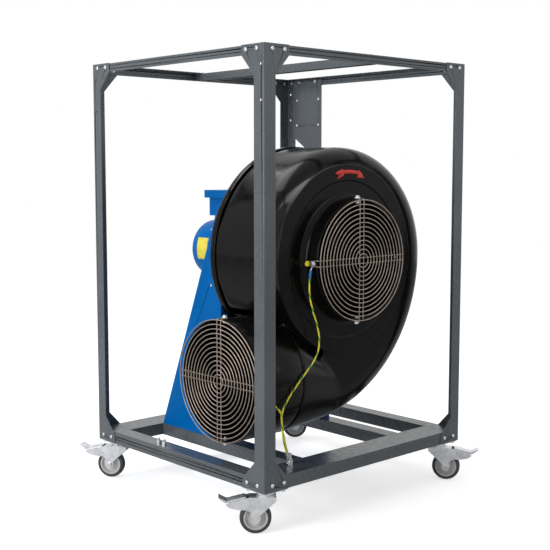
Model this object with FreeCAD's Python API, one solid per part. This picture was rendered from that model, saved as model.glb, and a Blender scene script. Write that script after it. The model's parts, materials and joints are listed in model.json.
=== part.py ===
import FreeCAD, Part
import math
import os

# Mobile centrifugal extraction fan in a castored sheet-steel frame.
# Millimetres. +Z up, +X toward the closed side of the volute, -Y toward the inlet.
# Origin: centre of the footprint, on the floor.

os.makedirs("parts", exist_ok=True)
V = FreeCAD.Vector
AXIS_X = V(1, 0, 0)
AXIS_Y = V(0, 1, 0)
AXIS_Z = V(0, 0, 1)
ORIGIN = V(0, 0, 0)

# ---------------------------------------------------------------- driving dimensions
# frame
FRAME_WIDTH = 800.0            # along X, over the posts
FRAME_DEPTH = 762.0            # along Y, over the posts
FRAME_HEIGHT = 1135.0          # of the posts
SHEET = 2.5                    # folded steel sheet
POST_LEG = 39.0                # leg width of the folded post
POST_BEND = 3.0                # outer bend radius of the post
GUSSET_REACH = 86.0            # gusset wing, from the corner along the rail
GUSSET_END = 26.0              # height of the wing at its free end
GUSSET_RUN = 77.0              # where the wing's diagonal meets the leg
TOP_RAIL_FACE = 25.0           # height of the top rail's upright face
TOP_RAIL_FLANGE = 30.0         # width of its level flange
TOP_RAIL_DROP = 1.5            # the rail's top lies this far below the post's top
MIDDLE_RAIL_WIDTH = 30.0
MIDDLE_RAIL_FACE = 23.0
BASE_RAIL_HEIGHT = 36.0
BASE_SIDE_WIDTH = 50.0         # rails along Y
BASE_END_WIDTH = 90.0          # rails along X, front and rear
CROSS_RAIL_WIDTH = 50.0
CROSS_RAIL_OFFSET = 200.0      # centre line of each cross rail from the middle
SHEET_GAP = 0.3                # between flanges that stop short of each other
HOLE_CLEARANCE = 0.3           # radial, round bolts and studs

# frame bolts
BOLT_D = 6.0
BOLT_HOLE_D = 6.6
BOLT_HEAD_D = 11.0
BOLT_HEAD_H = 3.4
NUT_ACROSS = 10.0
NUT_H = 5.0
BOLT_NEAR = 27.0               # bolt rows from the corner
BOLT_FAR = 68.0
BOLT_FROM_TOP = 13.0
BOLT_FROM_BOTTOM = 18.0
POST_HOLE_D = 6.5              # spare holes in the side legs
POST_HOLE_IN = 14.0
POST_HOLE_DROPS = (51.0, 139.0)

# switch plate on the +X side, at the rear post
PLATE_SHEET = 3.0
PLATE_FRONT_Y = 210.0
PLATE_REAR_IN = 34.0           # its rear edge from the frame's rear face
PLATE_HEIGHT = 262.0
PLATE_TOP_DROP = 10.0
PLATE_CHAMFER_START = 186.5    # down from the plate's top, along the rear edge
PLATE_CHAMFER_END_Y = 236.0
PLATE_BOLT_Y = 236.0           # its own bolt; a bolt of the post holds its rear end
SWITCH_HOLE_D = 7.0
SWITCH_SPACING_Y = 104.0
SWITCH_SPACING_Z = 86.0
SWITCH_CENTRE_Y = 278.0
SWITCH_CENTRE_DROP = 115.0

# castors
CASTOR_HEIGHT = 120.0
CASTOR_INSET = 45.0            # swivel axis from both outer faces of the frame
CASTOR_PLATE = 84.0
CASTOR_PLATE_T = 3.0
CASTOR_BOLT_SPACING = 62.0
CASTOR_BOLT_D = 8.0
WHEEL_R = 42.0
TYRE_WIDTH = 26.0
RIM_R = 32.0
HUB_R = 11.0
CASTOR_TRAIL = 27.0
AXLE_R = 4.0
RUNNING_FIT = 0.06             # radial clearance of turning fits
FORK_SHEET = 2.5
FORK_GAP = 34.0                # inside, between the cheeks
FORK_TOP = 97.0                # underside of the fork's crown
KINGPIN_R = 6.0
RACE_R = 24.0
BRAKE_PIN_X = 14.4             # brake pivot from the axle, along the trail
BRAKE_PIN_Z = 36.0
BRAKE_PIN_R = 4.0
PEDAL_WIDTH = 32.0
PEDAL_ARM_T = 1.6
PEDAL_TIP = 124.0              # tip from the swivel axis
PEDAL_LIFT = 101.0             # height of the tip
PEDAL_HEADINGS = {             # of each castor's pedal, from +X toward +Y
    "front_left": 140.0,
    "rear_left": 125.0,
    "front_right": 305.0,
    "rear_right": 320.0,
}

# fan
AXIS_HEIGHT = 694.0            # fan and motor axis above the floor
CASING_FRONT = -278.0          # front face of the volute
CASING_BACK = -20.0            # open rear edge, closed by the back plate
CASING_WALL = 5.0
CASING_ROUND = 90.0            # rounded front edge of the volute
SCROLL_TOP = 316.0             # reach of the scroll from the axis
SCROLL_RIGHT = 377.0
SCROLL_BOTTOM = 468.0
SCROLL_R = 320.0               # arc over the top and right
SCROLL_LEFT_R = 288.0          # arc down the left side
SCROLL_LEFT_BREAK = 160.0      # heading where those two meet
INLET_BOSS_R = 258.0
INLET_PLATE_R = 266.0
INLET_PLATE_T = 9.0
INLET_HOLE_R = 182.0
COLLAR_R = 169.0               # outer radius of the inlet collar
COLLAR_WALL = 5.0
COLLAR_LIP = -336.0
NOZZLE_R = 127.0               # outer radius of the inlet nozzle's narrow end
NOZZLE_WALL = 3.0
NOZZLE_END = -180.0
OUTLET_Y = -152.0
OUTLET_DROP = 320.0            # of the spigot's axis below the fan's
OUTLET_R = 169.0
OUTLET_LIP = -352.0
OUTLET_START = -205.0          # where the round spigot begins
OUTLET_ROOT = -20.0            # where its transition leaves the scroll
OUTLET_ROOT_TOP = -275.0       # top of that section, from the axis
OUTLET_ROOT_ROUND = 80.0
BACK_PLATE_LIP = 3.0
CASING_BOLT_D = 6.0
CASING_BOLT_CIRCLE_R = 205.0
CASING_BOLT_HEADINGS = (15, 45, 75, 105, 135, 165)

# wire guards
GUARD_RINGS = 13
GUARD_PITCH = 12.4
GUARD_R = 168.0
GUARD_WIRE = 3.0
GUARD_PAIR = 15.8              # spacing of the two cross wires
INLET_GUARD_Y = -347.0
OUTLET_GUARD_X = -362.0
GUARD_BOLT_BACK = 24.0         # from the guard plane to the collar bolts
GUARD_LEG = 14.0               # straight part of a leg, along the collar
GUARD_BEND_R = 3.0
GUARD_RING_ARCS = 8
GUARD_CLIP_RUN = 8.0           # part of a clip that lies along the cross wire
COLLAR_BOLT_D = 6.0
COLLAR_BOLT_ACROSS = 10.0
COLLAR_HEAD_H = 5.0
COLLAR_WASHER_R = 9.0
COLLAR_WASHER_T = 2.5

# impeller
IMPELLER_R = 196.0
EYE_R = 128.0
BLADES = 9
BLADE_T = 3.0
IMPELLER_BACK = -52.0
IMPELLER_DEPTH = 118.0
IMPELLER_PLATE_T = 3.0
HUB_BOSS_R = 34.0
SHAFT_R = 12.0

# pedestal and motor
PEDESTAL_HALF = 225.0
PEDESTAL_SHEET = 4.0
PEDESTAL_DEPTH = 287.0
PEDESTAL_RISE = 152.0          # of its top edge above the axis
PEDESTAL_TOP_DEPTH = 12.0
PEDESTAL_FOOT = 46.0
PEDESTAL_HOLE_D = 8.0
PEDESTAL_HOLE_Y = 48.0
PEDESTAL_HOLE_DROP = 85.0      # below the axis
OUTLET_NOTCH_GAP = 4.0
SHAFT_HOLE_R = 52.0
FLANGE_R = 100.0
FLANGE_T = 12.0
FLANGE_BOLT_CIRCLE_R = 82.5
FLANGE_BOLT_D = 10.0
SHIELD_NECK_R = 71.0           # behind the flange, clear of the bolt heads
MOTOR_R = 72.0
FIN_R = 84.0
FIN_COUNT = 28
FIN_T = 3.0
MOTOR_FRONT = 38.0             # housing's ends along Y
MOTOR_BACK = 230.0
MOTOR_WALL = 6.0
REAR_SHIELD_T = 14.0
COWL_R = 90.0
COWL_T = 2.0
COWL_FRONT = 226.0
COWL_BACK = 311.0
STATOR_R = 45.5
ROTOR_R = 44.8
CORE_START = 80.0
CORE_END = 190.0
BEARING_R = 26.0
BEARING_T = 16.0
BOX_WIDTH = 96.0
BOX_BACK = 272.0
BOX_FRONT = 165.0
BOX_RISE = 107.0               # of the box's bottom above the axis
BOX_HEIGHT = 56.0
BOX_WALL = 4.0
LID_T = 24.0
LID_OVERHANG = 12.0
NECK_SIZE = 52.0
GLAND_R = 11.0
GLAND_LENGTH = 26.0

# earth bonding
EARTH_D = 4.6
STUD_D = 8.0
EARTH_STUD_IN = 28.0           # from the frame's left face
EARTH_STUD_YS = (108.0, 82.0)
BOND_STUD_X = -245.0
BOND_STUD_IN = 69.0            # from the frame's front face
BOND_STUD_HEIGHT = 30.0
EARTH_STUD_HEIGHT = 14.0
STUD_NUT_H = 6.5
STUD_NUT = 13.0                # across flats
LUG_T = 1.2                    # ring terminals
LUG_RIM = 4.0
LUG_REACH = 4.0                # strip beyond the eye
LUG_STRIP = 6.0
LUG_SLEEVE = 14.0
LUG_SLEEVE_WALL = 0.9
LUG_TONGUE_R = 1.4
INLET_WIRE = (
    (-181.0, -322.0, 664.0),
    (-186.0, -322.5, 634.0),
    (-180.0, -320.0, 600.0),
    (-166.0, -317.5, 564.0),
    (-147.0, -315.0, 525.0),
    (-136.0, -314.0, 485.0),
    (-143.0, -315.0, 447.0),
    (-172.0, -320.0, 419.0),
    (-206.0, -325.0, 396.0),
    (-236.0, -326.5, 370.0),
    (-264.0, -325.5, 342.0),
    (-286.0, -322.0, 306.0),
    (-281.0, -318.5, 268.0),
    (-270.0, -316.0, 229.0),
    (-258.0, -313.5, 196.0),
)
OUTLET_WIRE = (
    (-338.0, -336.0, 351.0),
    (-326.0, -336.0, 332.0),
    (-303.0, -333.0, 317.0),
    (-292.0, -329.5, 296.0),
    (-288.0, -325.5, 262.0),
    (-278.0, -321.0, 228.0),
    (-267.0, -319.5, 196.0),
)

# ---------------------------------------------------------------- derived values
HALF_W = FRAME_WIDTH / 2
HALF_D = FRAME_DEPTH / 2
FRAME_BOTTOM = CASTOR_HEIGHT
FRAME_TOP = FRAME_BOTTOM + FRAME_HEIGHT
BASE_TOP = FRAME_BOTTOM + BASE_RAIL_HEIGHT
RAIL_TOP = FRAME_TOP - TOP_RAIL_DROP
AXIS = V(0, 0, AXIS_HEIGHT)
OUTLET_HEIGHT = AXIS_HEIGHT - OUTLET_DROP
OUTLET_CENTRE = V(0, OUTLET_Y, OUTLET_HEIGHT)
PEDESTAL_TOP = AXIS_HEIGHT + PEDESTAL_RISE
BOX_BOTTOM = AXIS_HEIGHT + BOX_RISE
BOX_TOP = BOX_BOTTOM + BOX_HEIGHT
EARTH_STUDS = tuple((EARTH_STUD_IN - HALF_W, y) for y in EARTH_STUD_YS)
BOND_STUD = (BOND_STUD_X, BOND_STUD_IN - HALF_D)


# ---------------------------------------------------------------- helpers
def sides(corner):
    """Signs of a corner's place along X and Y, from its name."""
    return (-1 if corner.endswith("left") else 1, -1 if corner.startswith("front") else 1)


def box(x0, x1, y0, y1, z0, z1):
    return Part.makeBox(x1 - x0, y1 - y0, z1 - z0, V(x0, y0, z0))


def rod(radius, start, direction, length):
    return Part.makeCylinder(radius, length, start, direction)


def pipe(outer, inner, start, direction, length):
    return rod(outer, start, direction, length).cut(rod(inner, start, direction, length))


def prism(points, depth):
    """Extrude a closed outline of points by the vector depth."""
    wire = Part.makePolygon(list(points) + [points[0]])
    return Part.Face(wire).extrude(depth)


def turned(profile, centre=AXIS):
    """Revolve a closed outline of (radius, y) about the Y axis through centre."""
    points = [V(centre.x + r, y, centre.z) for r, y in profile]
    wire = Part.makePolygon(points + [points[0]])
    return Part.Face(wire).revolve(centre, AXIS_Y, 360)


def drilled(radius, face_point, inward, depth):
    """Cutter for a hole that enters at face_point and runs depth deep."""
    return rod(radius, face_point - inward, inward, depth + 1)


def fused(shapes):
    result = shapes[0].fuse(list(shapes[1:])) if len(shapes) > 1 else shapes[0]
    return result.removeSplitter()


def hexagon(across, height, base, direction):
    """Hexagon prism for nuts and heads, standing on base along direction."""
    radius = across / math.sqrt(3)
    corners = [V(radius * math.cos(math.radians(60 * i)), radius * math.sin(math.radians(60 * i)), 0)
               for i in range(6)]
    shape = prism(corners, V(0, 0, height))
    shape.Placement = FreeCAD.Placement(base, FreeCAD.Rotation(AXIS_Z, direction))
    return shape


def button_bolt(face_point, inward, grip):
    """Button head on face_point, shank inward through grip, and a nut behind it."""
    dome = rod(BOLT_HEAD_D / 2, face_point - inward * BOLT_HEAD_H, inward, BOLT_HEAD_H)
    rim = [edge for edge in dome.Edges if abs(edge.Length - math.pi * BOLT_HEAD_D) < 0.01]
    outer = [edge for edge in rim if (edge.CenterOfMass - face_point).Length > BOLT_HEAD_H / 2]
    dome = dome.makeFillet(BOLT_HEAD_H * 0.8, outer)
    socket = hexagon(NUT_ACROSS * 0.4, BOLT_HEAD_H * 0.6, face_point - inward * BOLT_HEAD_H, inward)
    shank = rod(BOLT_D / 2, face_point - inward * 0.5, inward, grip + NUT_H + 1.5)
    nut = hexagon(NUT_ACROSS, NUT_H, face_point + inward * grip, inward)
    return fused([dome.cut(socket), shank, nut])


def hex_bolt(face_point, inward, length, diameter, head_height=None):
    """Hexagon head on face_point with a plain shank inward."""
    height = head_height or diameter * 0.65
    head = hexagon(diameter * 1.625, height, face_point - inward * height, inward)
    return fused([head, rod(diameter / 2, face_point - inward * 0.5, inward, length + 0.5)])


def heading(degrees):
    """Unit vector in the XZ plane, degrees from +X toward +Z."""
    angle = math.radians(degrees)
    return V(math.cos(angle), 0, math.sin(angle))


def rounded_path(route, radius_at):
    """Straight runs joined by tangent arcs; radius_at(turn, shorter run) gives each arc's radius."""
    edges = []
    radii = []
    start = route[0]
    for i in range(1, len(route) - 1):
        before = route[i - 1] - route[i]
        after = route[i + 1] - route[i]
        turn = math.pi - before.getAngle(after)
        radius = radius_at(turn, min(before.Length, after.Length))
        cut_back = radius * math.tan(turn / 2)
        into = route[i] + before.normalize() * cut_back
        out_of = route[i] + after.normalize() * cut_back
        middle = route[i] + (before + after).normalize() * (radius / math.cos(turn / 2) - radius)
        edges.append(Part.LineSegment(start, into).toShape())
        edges.append(Part.Arc(into, middle, out_of).toShape())
        radii.append(radius)
        start = out_of
    edges.append(Part.LineSegment(start, route[-1]).toShape())
    return Part.Wire(edges), radii


def tube_along(path, start, toward, diameter):
    """Sweep a round section along path."""
    circle = Part.Wire([Part.makeCircle(diameter / 2, start, toward)])
    return path.makePipeShell([circle], True, False)


def export(name, shape):
    if isinstance(shape, (list, tuple)):
        shape = Part.makeCompound(list(shape))
    bad = [i for i, solid in enumerate(shape.Solids) if not solid.isValid()]
    lengths = shape.BoundBox
    print("%-26s solids %2d volume %10.0f  x %.1f %.1f y %.1f %.1f z %.1f %.1f%s" % (
        name, len(shape.Solids), shape.Volume, lengths.XMin, lengths.XMax, lengths.YMin,
        lengths.YMax, lengths.ZMin, lengths.ZMax, "  INVALID %s" % bad if bad else ""))
    shape.exportStep("parts/%s.step" % name)


# ---------------------------------------------------------------- frame bolts
def frame_bolt_points():
    """(point on the outer face, inward direction) of every post bolt."""
    places = []
    for side_x in (-1, 1):
        for side_y in (-1, 1):
            for height in (FRAME_TOP - BOLT_FROM_TOP, FRAME_BOTTOM + BOLT_FROM_BOTTOM):
                for reach in (BOLT_NEAR, BOLT_FAR):
                    side_point = V(side_x * HALF_W, side_y * (HALF_D - reach), height)
                    end_point = V(side_x * (HALF_W - reach), side_y * HALF_D, height)
                    places.append((side_point, V(-side_x, 0, 0)))
                    places.append((end_point, V(0, -side_y, 0)))
    return places


BOLT_PLACES = frame_bolt_points()
BOLT_HOLES = Part.makeCompound([
    drilled(BOLT_HOLE_D / 2, point, inward, 2 * SHEET + PLATE_SHEET + 1) for point, inward in BOLT_PLACES])


# ---------------------------------------------------------------- posts
def post(side_x, side_y):
    """Folded L post with a gusset wing at each end of both legs."""
    outline = ((0, 0), (GUSSET_REACH, 0), (GUSSET_REACH, GUSSET_END), (POST_LEG, GUSSET_RUN),
               (POST_LEG, FRAME_HEIGHT - GUSSET_RUN), (GUSSET_REACH, FRAME_HEIGHT - GUSSET_END),
               (GUSSET_REACH, FRAME_HEIGHT), (0, FRAME_HEIGHT))
    side = prism([V(0, reach, up) for reach, up in outline], V(SHEET, 0, 0))
    end = prism([V(reach, 0, up) for reach, up in outline], V(0, SHEET, 0))
    shape = fused([side, end])
    bend = [e for e in shape.Edges if abs(e.Length - FRAME_HEIGHT) < 0.01 and e.BoundBox.XMax < 0.01]
    shape = shape.makeFillet(POST_BEND, bend)
    for drop in POST_HOLE_DROPS:
        at = V(-1, POST_HOLE_IN, FRAME_HEIGHT - drop)
        shape = shape.cut(rod(POST_HOLE_D / 2, at, AXIS_X, SHEET + 2))
    if side_x > 0:
        shape = shape.mirror(ORIGIN, AXIS_X)
    if side_y > 0:
        shape = shape.mirror(ORIGIN, AXIS_Y)
    shape.translate(V(side_x * HALF_W, side_y * HALF_D, FRAME_BOTTOM))
    return shape


for corner in PEDAL_HEADINGS:
    export("post_" + corner, post(*sides(corner)).cut(BOLT_HOLES))

# ---------------------------------------------------------------- top rails
rail_x = HALF_W - SHEET
rail_y = HALF_D - SHEET
flange_bottom = RAIL_TOP - SHEET
face_bottom = RAIL_TOP - TOP_RAIL_FACE


def side_top_rail(side):
    face = box(rail_x - SHEET, rail_x, -rail_y, rail_y, face_bottom, RAIL_TOP)
    flange = box(rail_x - TOP_RAIL_FLANGE, rail_x, -rail_y, rail_y, flange_bottom, RAIL_TOP)
    shape = fused([face, flange])
    return shape.mirror(ORIGIN, AXIS_X) if side < 0 else shape


def end_top_rail(side):
    reach = rail_x - SHEET
    flange_reach = rail_x - TOP_RAIL_FLANGE - SHEET_GAP
    face = box(-reach, reach, rail_y - SHEET, rail_y, face_bottom, RAIL_TOP - SHEET)
    flange = box(-flange_reach, flange_reach, rail_y - TOP_RAIL_FLANGE, rail_y, flange_bottom, RAIL_TOP)
    shape = fused([face, flange])
    return shape.mirror(ORIGIN, AXIS_Y) if side < 0 else shape


middle_y = rail_y - SHEET
middle_half = MIDDLE_RAIL_WIDTH / 2
middle_top = flange_bottom
middle_rail = fused([
    box(-middle_half, middle_half, -middle_y, middle_y, middle_top - SHEET, middle_top),
    box(-middle_half, -middle_half + SHEET, -middle_y, middle_y, middle_top - MIDDLE_RAIL_FACE, middle_top),
    box(middle_half - SHEET, middle_half, -middle_y, middle_y, middle_top - MIDDLE_RAIL_FACE, middle_top)])
middle_bolts = [(V(0, side * (rail_y - TOP_RAIL_FLANGE / 2), RAIL_TOP), V(0, 0, -1)) for side in (-1, 1)]
MIDDLE_HOLES = Part.makeCompound([
    drilled(BOLT_HOLE_D / 2, point, inward, 2 * SHEET + 1) for point, inward in middle_bolts])

export("top_rail_left", side_top_rail(-1).cut(BOLT_HOLES))
export("top_rail_front", end_top_rail(-1).cut(BOLT_HOLES).cut(MIDDLE_HOLES))
export("top_rail_rear", end_top_rail(1).cut(BOLT_HOLES).cut(MIDDLE_HOLES))
export("top_rail_middle", middle_rail.cut(MIDDLE_HOLES))


# ---------------------------------------------------------------- base rails
def tube_along_y(x0, x1, y0, y1, cap=-1.0):
    """Rectangular tube; cap is the thickness that closes its ends, and -1 leaves them open."""
    outer = box(x0, x1, y0, y1, FRAME_BOTTOM, BASE_TOP)
    inside = box(x0 + SHEET, x1 - SHEET, y0 + cap, y1 - cap, FRAME_BOTTOM + SHEET, BASE_TOP - SHEET)
    return outer.cut(inside)


def tube_along_x(x0, x1, y0, y1):
    outer = box(x0, x1, y0, y1, FRAME_BOTTOM, BASE_TOP)
    return outer.cut(box(x0 - 1, x1 + 1, y0 + SHEET, y1 - SHEET, FRAME_BOTTOM + SHEET, BASE_TOP - SHEET))


castor_holes = []
for corner in PEDAL_HEADINGS:
    castor_x, castor_y = sides(corner)
    for dx in (-1, 1):
        for dy in (-1, 1):
            at = V(castor_x * (HALF_W - CASTOR_INSET) + dx * CASTOR_BOLT_SPACING / 2,
                   castor_y * (HALF_D - CASTOR_INSET) + dy * CASTOR_BOLT_SPACING / 2,
                   FRAME_BOTTOM - CASTOR_PLATE_T)
            castor_holes.append(at)
castor_hole_r = CASTOR_BOLT_D / 2 + HOLE_CLEARANCE
CASTOR_HOLES = Part.makeCompound([
    drilled(castor_hole_r, at, AXIS_Z, CASTOR_PLATE_T + SHEET + 1) for at in castor_holes])

STUD_HOLES = Part.makeCompound([
    drilled(STUD_D / 2 + HOLE_CLEARANCE, V(x, y, BASE_TOP), V(0, 0, -1), SHEET + 1)
    for x, y in EARTH_STUDS + (BOND_STUD,)])

side_inner = rail_x - BASE_SIDE_WIDTH
end_inner = rail_y - BASE_END_WIDTH
base_cuts = Part.makeCompound([BOLT_HOLES, CASTOR_HOLES, STUD_HOLES])
export("base_rail_left", tube_along_y(-rail_x, -side_inner, -rail_y, rail_y, SHEET).cut(base_cuts))
export("base_rail_right", tube_along_y(side_inner, rail_x, -rail_y, rail_y, SHEET).cut(base_cuts))
export("base_rail_front", tube_along_x(-side_inner, side_inner, -rail_y, -end_inner).cut(base_cuts))
export("base_rail_rear", tube_along_x(-side_inner, side_inner, end_inner, rail_y).cut(base_cuts))

cross_half = CROSS_RAIL_WIDTH / 2
foot_bolt_ys = (PEDESTAL_DEPTH * 0.15, PEDESTAL_DEPTH * 0.85)
foot_bolts = [V(side * CROSS_RAIL_OFFSET, y, BASE_TOP + PEDESTAL_SHEET)
              for side in (-1, 1) for y in foot_bolt_ys]
FOOT_HOLES = Part.makeCompound([
    drilled(castor_hole_r, at, V(0, 0, -1), PEDESTAL_SHEET + SHEET + 1)
    for at in foot_bolts])
cross_rails = []
for centre in (-CROSS_RAIL_OFFSET, CROSS_RAIL_OFFSET):
    rail = tube_along_y(centre - cross_half, centre + cross_half, -end_inner, end_inner)
    cross_rails.append(rail.cut(FOOT_HOLES))
export("base_cross_rails", cross_rails)

# ---------------------------------------------------------------- switch plate
plate_top = FRAME_TOP - PLATE_TOP_DROP
plate_x = rail_x - SHEET
plate_rear_y = HALF_D - PLATE_REAR_IN
plate_outline = [
    V(0, PLATE_FRONT_Y, plate_top - PLATE_HEIGHT),
    V(0, PLATE_FRONT_Y, flange_bottom - SHEET_GAP),
    V(0, plate_rear_y, flange_bottom - SHEET_GAP),
    V(0, plate_rear_y, plate_top - PLATE_CHAMFER_START),
    V(0, PLATE_CHAMFER_END_Y, plate_top - PLATE_HEIGHT)]
switch_plate = prism(plate_outline, V(PLATE_SHEET, 0, 0))
switch_plate.translate(V(plate_x - PLATE_SHEET, 0, 0))
switch_centre = V(plate_x, SWITCH_CENTRE_Y, FRAME_TOP - SWITCH_CENTRE_DROP)
switch_holes = []
for dy in (-0.5, 0.5):
    for dz in (-0.5, 0.5):
        at = switch_centre + V(0, dy * SWITCH_SPACING_Y, dz * SWITCH_SPACING_Z)
        switch_holes.append(drilled(SWITCH_HOLE_D / 2, at, V(-1, 0, 0), PLATE_SHEET + 1))
plate_bolt = V(rail_x, PLATE_BOLT_Y, FRAME_TOP - BOLT_FROM_TOP)
PLATE_HOLE = drilled(BOLT_HOLE_D / 2, plate_bolt, V(-1, 0, 0), SHEET + PLATE_SHEET + 1)
export("switch_plate", switch_plate.cut(Part.makeCompound(switch_holes)).cut(PLATE_HOLE).cut(BOLT_HOLES))
export("top_rail_right", side_top_rail(1).cut(BOLT_HOLES).cut(PLATE_HOLE))

bolt_grip = 2 * SHEET
fasteners = []
for point, inward in BOLT_PLACES:
    behind_plate = inward.x < 0 and PLATE_FRONT_Y < point.y < plate_rear_y and point.z > FRAME_TOP / 2
    grip = bolt_grip + (PLATE_SHEET if behind_plate else 0)
    fasteners.append(button_bolt(point, inward, grip))
fasteners.append(button_bolt(plate_bolt, V(-1, 0, 0), SHEET + PLATE_SHEET))
fasteners += [button_bolt(point, inward, bolt_grip) for point, inward in middle_bolts]
fasteners += [hex_bolt(at, V(0, 0, -1), PEDESTAL_SHEET + SHEET + 6, CASTOR_BOLT_D) for at in foot_bolts]


# ---------------------------------------------------------------- castors
def placed(shape, side_x, side_y, angle):
    """Turn a castor piece to its heading and set it on its swivel axis."""
    copy = shape.copy()
    copy.rotate(ORIGIN, AXIS_Z, angle)
    copy.translate(V(side_x * (HALF_W - CASTOR_INSET), side_y * (HALF_D - CASTOR_INSET), 0))
    return copy


plate_bottom = CASTOR_HEIGHT - CASTOR_PLATE_T
crown_top = FORK_TOP + FORK_SHEET
half_plate = CASTOR_PLATE / 2
lower_race_h = 5.0
race_gap = 0.4


def castor_top_plate(side_x, side_y):
    plate = box(-half_plate, half_plate, -half_plate, half_plate, plate_bottom, CASTOR_HEIGHT)
    upright = [e for e in plate.Edges if abs(e.Length - CASTOR_PLATE_T) < 0.01]
    plate = plate.makeFillet(6, upright)
    cup_bottom = crown_top + lower_race_h + race_gap
    cup = rod(RACE_R, V(0, 0, cup_bottom), AXIS_Z, plate_bottom - cup_bottom)
    pin_bottom = FORK_TOP - 3
    pin = rod(KINGPIN_R, V(0, 0, pin_bottom), AXIS_Z, plate_bottom - pin_bottom)
    rivet = rod(KINGPIN_R + 3, V(0, 0, pin_bottom - 3), AXIS_Z, 3 + 3 - race_gap)
    shape = placed(fused([plate, cup, pin, rivet]), side_x, side_y, 0)
    return shape.cut(CASTOR_HOLES)


cheek_out = FORK_GAP / 2 + FORK_SHEET
axle = V(CASTOR_TRAIL, 0, WHEEL_R)
brake_pin = axle + V(BRAKE_PIN_X, 0, BRAKE_PIN_Z)


def fork_cheek():
    """Side plate: broad at the crown, a shroud over the wheel, a leg to the axle."""
    leg = AXLE_R + 8.5
    points = [
        V(-27, 0, crown_top), V(-27, 0, 89), V(CASTOR_TRAIL - leg, 0, WHEEL_R + 10),
        V(CASTOR_TRAIL - leg, 0, WHEEL_R), V(CASTOR_TRAIL + leg, 0, WHEEL_R),
        V(CASTOR_TRAIL + leg, 0, WHEEL_R + 17), V(CASTOR_TRAIL + leg + 10, 0, WHEEL_R + 24),
        V(74, 0, WHEEL_R + 25), V(94, 0, WHEEL_R + 30), V(104, 0, WHEEL_R + 37),
        V(103, 0, WHEEL_R + 41), V(80, 0, WHEEL_R + 48), V(57, 0, WHEEL_R + 53.5),
        V(44, 0, crown_top)]
    plate = prism(points, V(0, FORK_SHEET, 0))
    end = rod(leg, axle, AXIS_Y, FORK_SHEET)
    return fused([plate, end])


def castor_fork():
    cheek = fork_cheek()
    near = cheek.copy()
    near.translate(V(0, -cheek_out, 0))
    far = cheek.copy()
    far.translate(V(0, FORK_GAP / 2, 0))
    crown = box(-27, 44, -cheek_out, cheek_out, FORK_TOP, crown_top)
    race = rod(RACE_R + 2, V(0, 0, crown_top), AXIS_Z, lower_race_h)
    body = fused([near, far, crown, race])
    body = body.cut(rod(KINGPIN_R + RUNNING_FIT, V(0, 0, FORK_TOP - 5), AXIS_Z, 30))
    body = body.cut(rod(AXLE_R + RUNNING_FIT, axle - V(0, cheek_out + 1, 0), AXIS_Y, 2 * cheek_out + 2))
    pin_cut = rod(BRAKE_PIN_R + RUNNING_FIT, brake_pin - V(0, cheek_out + 1, 0), AXIS_Y, 2 * cheek_out + 2)
    body = body.cut(pin_cut)
    shank = rod(AXLE_R, axle - V(0, cheek_out, 0), AXIS_Y, 2 * cheek_out)
    head = hexagon(13, 5, axle - V(0, cheek_out + 5, 0), AXIS_Y)
    nut = hexagon(13, 6, axle + V(0, cheek_out, 0), AXIS_Y)
    return Part.makeCompound([body, fused([shank, head, nut])])


def castor_wheel():
    """Plastic core: hub, thin web and a rim with a groove."""
    hub = FORK_GAP / 2 - 0.5
    rim = TYRE_WIDTH / 2
    bore = AXLE_R + RUNNING_FIT
    half = [(bore, 0), (bore, hub), (HUB_R, hub), (HUB_R + 1, 4), (RIM_R - 7, 3.5), (RIM_R - 5, rim - 3),
            (RIM_R - 3, rim - 1), (RIM_R, rim - 1), (RIM_R, 0)]
    profile = half + [(r, -y) for r, y in reversed(half[1:-1])]
    return turned(profile, axle)


def castor_tyre():
    rim = TYRE_WIDTH / 2
    inner = RIM_R + 0.05
    half = [(inner, 0), (inner, rim - 0.5), (WHEEL_R - 6, rim), (WHEEL_R - 2.2, rim - 1.5),
            (WHEEL_R - 0.6, rim - 4.5), (WHEEL_R, rim - 8), (WHEEL_R, 0)]
    profile = half + [(r, -y) for r, y in reversed(half[1:-1])]
    return turned(profile, axle)


def castor_pedal():
    """Brake pedal: tread plate over the wheel, two arms on stub pins, and a shoe."""
    half = PEDAL_WIDTH / 2
    profile = [(52, 99.5), (58, 100.5), (103, 90), (PEDAL_TIP, PEDAL_LIFT),
               (PEDAL_TIP - 1, PEDAL_LIFT - 5), (105, 84), (84, 89), (58, 96), (52, 95)]
    tread = prism([V(x, -half, z) for x, z in profile], V(0, PEDAL_WIDTH, 0))
    pieces = [tread]
    arm_outer = half
    for side in (-1, 1):
        arm_y = side * arm_outer - (PEDAL_ARM_T if side > 0 else 0)
        arm = [V(x, arm_y, z) for x, z in
               ((brake_pin.x - 6, brake_pin.z - 3), (brake_pin.x + 4, brake_pin.z - 6),
                (92, 84), (84, 91), (58, 98), (50, 96))]
        pieces.append(prism(arm, V(0, PEDAL_ARM_T, 0)))
        start = V(brake_pin.x, side * (arm_outer - PEDAL_ARM_T), brake_pin.z)
        pieces.append(rod(BRAKE_PIN_R, start, V(0, side, 0), cheek_out + 0.6 - arm_outer + PEDAL_ARM_T))
        boss = rod(7, V(brake_pin.x, arm_y, brake_pin.z), AXIS_Y, PEDAL_ARM_T)
        pieces.append(boss)
    shoe = prism([V(x, -9, z) for x, z in ((62, 96), (72, 93), (67, 78), (61, 79.5))], V(0, 18, 0))
    pieces.append(shoe)
    return fused(pieces)


def castor_bolt(at):
    head = hexagon(13, 5.3, at - V(0, 0, 5.3), AXIS_Z)
    shank = rod(CASTOR_BOLT_D / 2, at - V(0, 0, 0.5), AXIS_Z, CASTOR_PLATE_T + SHEET + 9)
    nut = hexagon(13, 6.5, at + V(0, 0, CASTOR_PLATE_T + SHEET), AXIS_Z)
    return fused([head, shank, nut])


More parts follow.
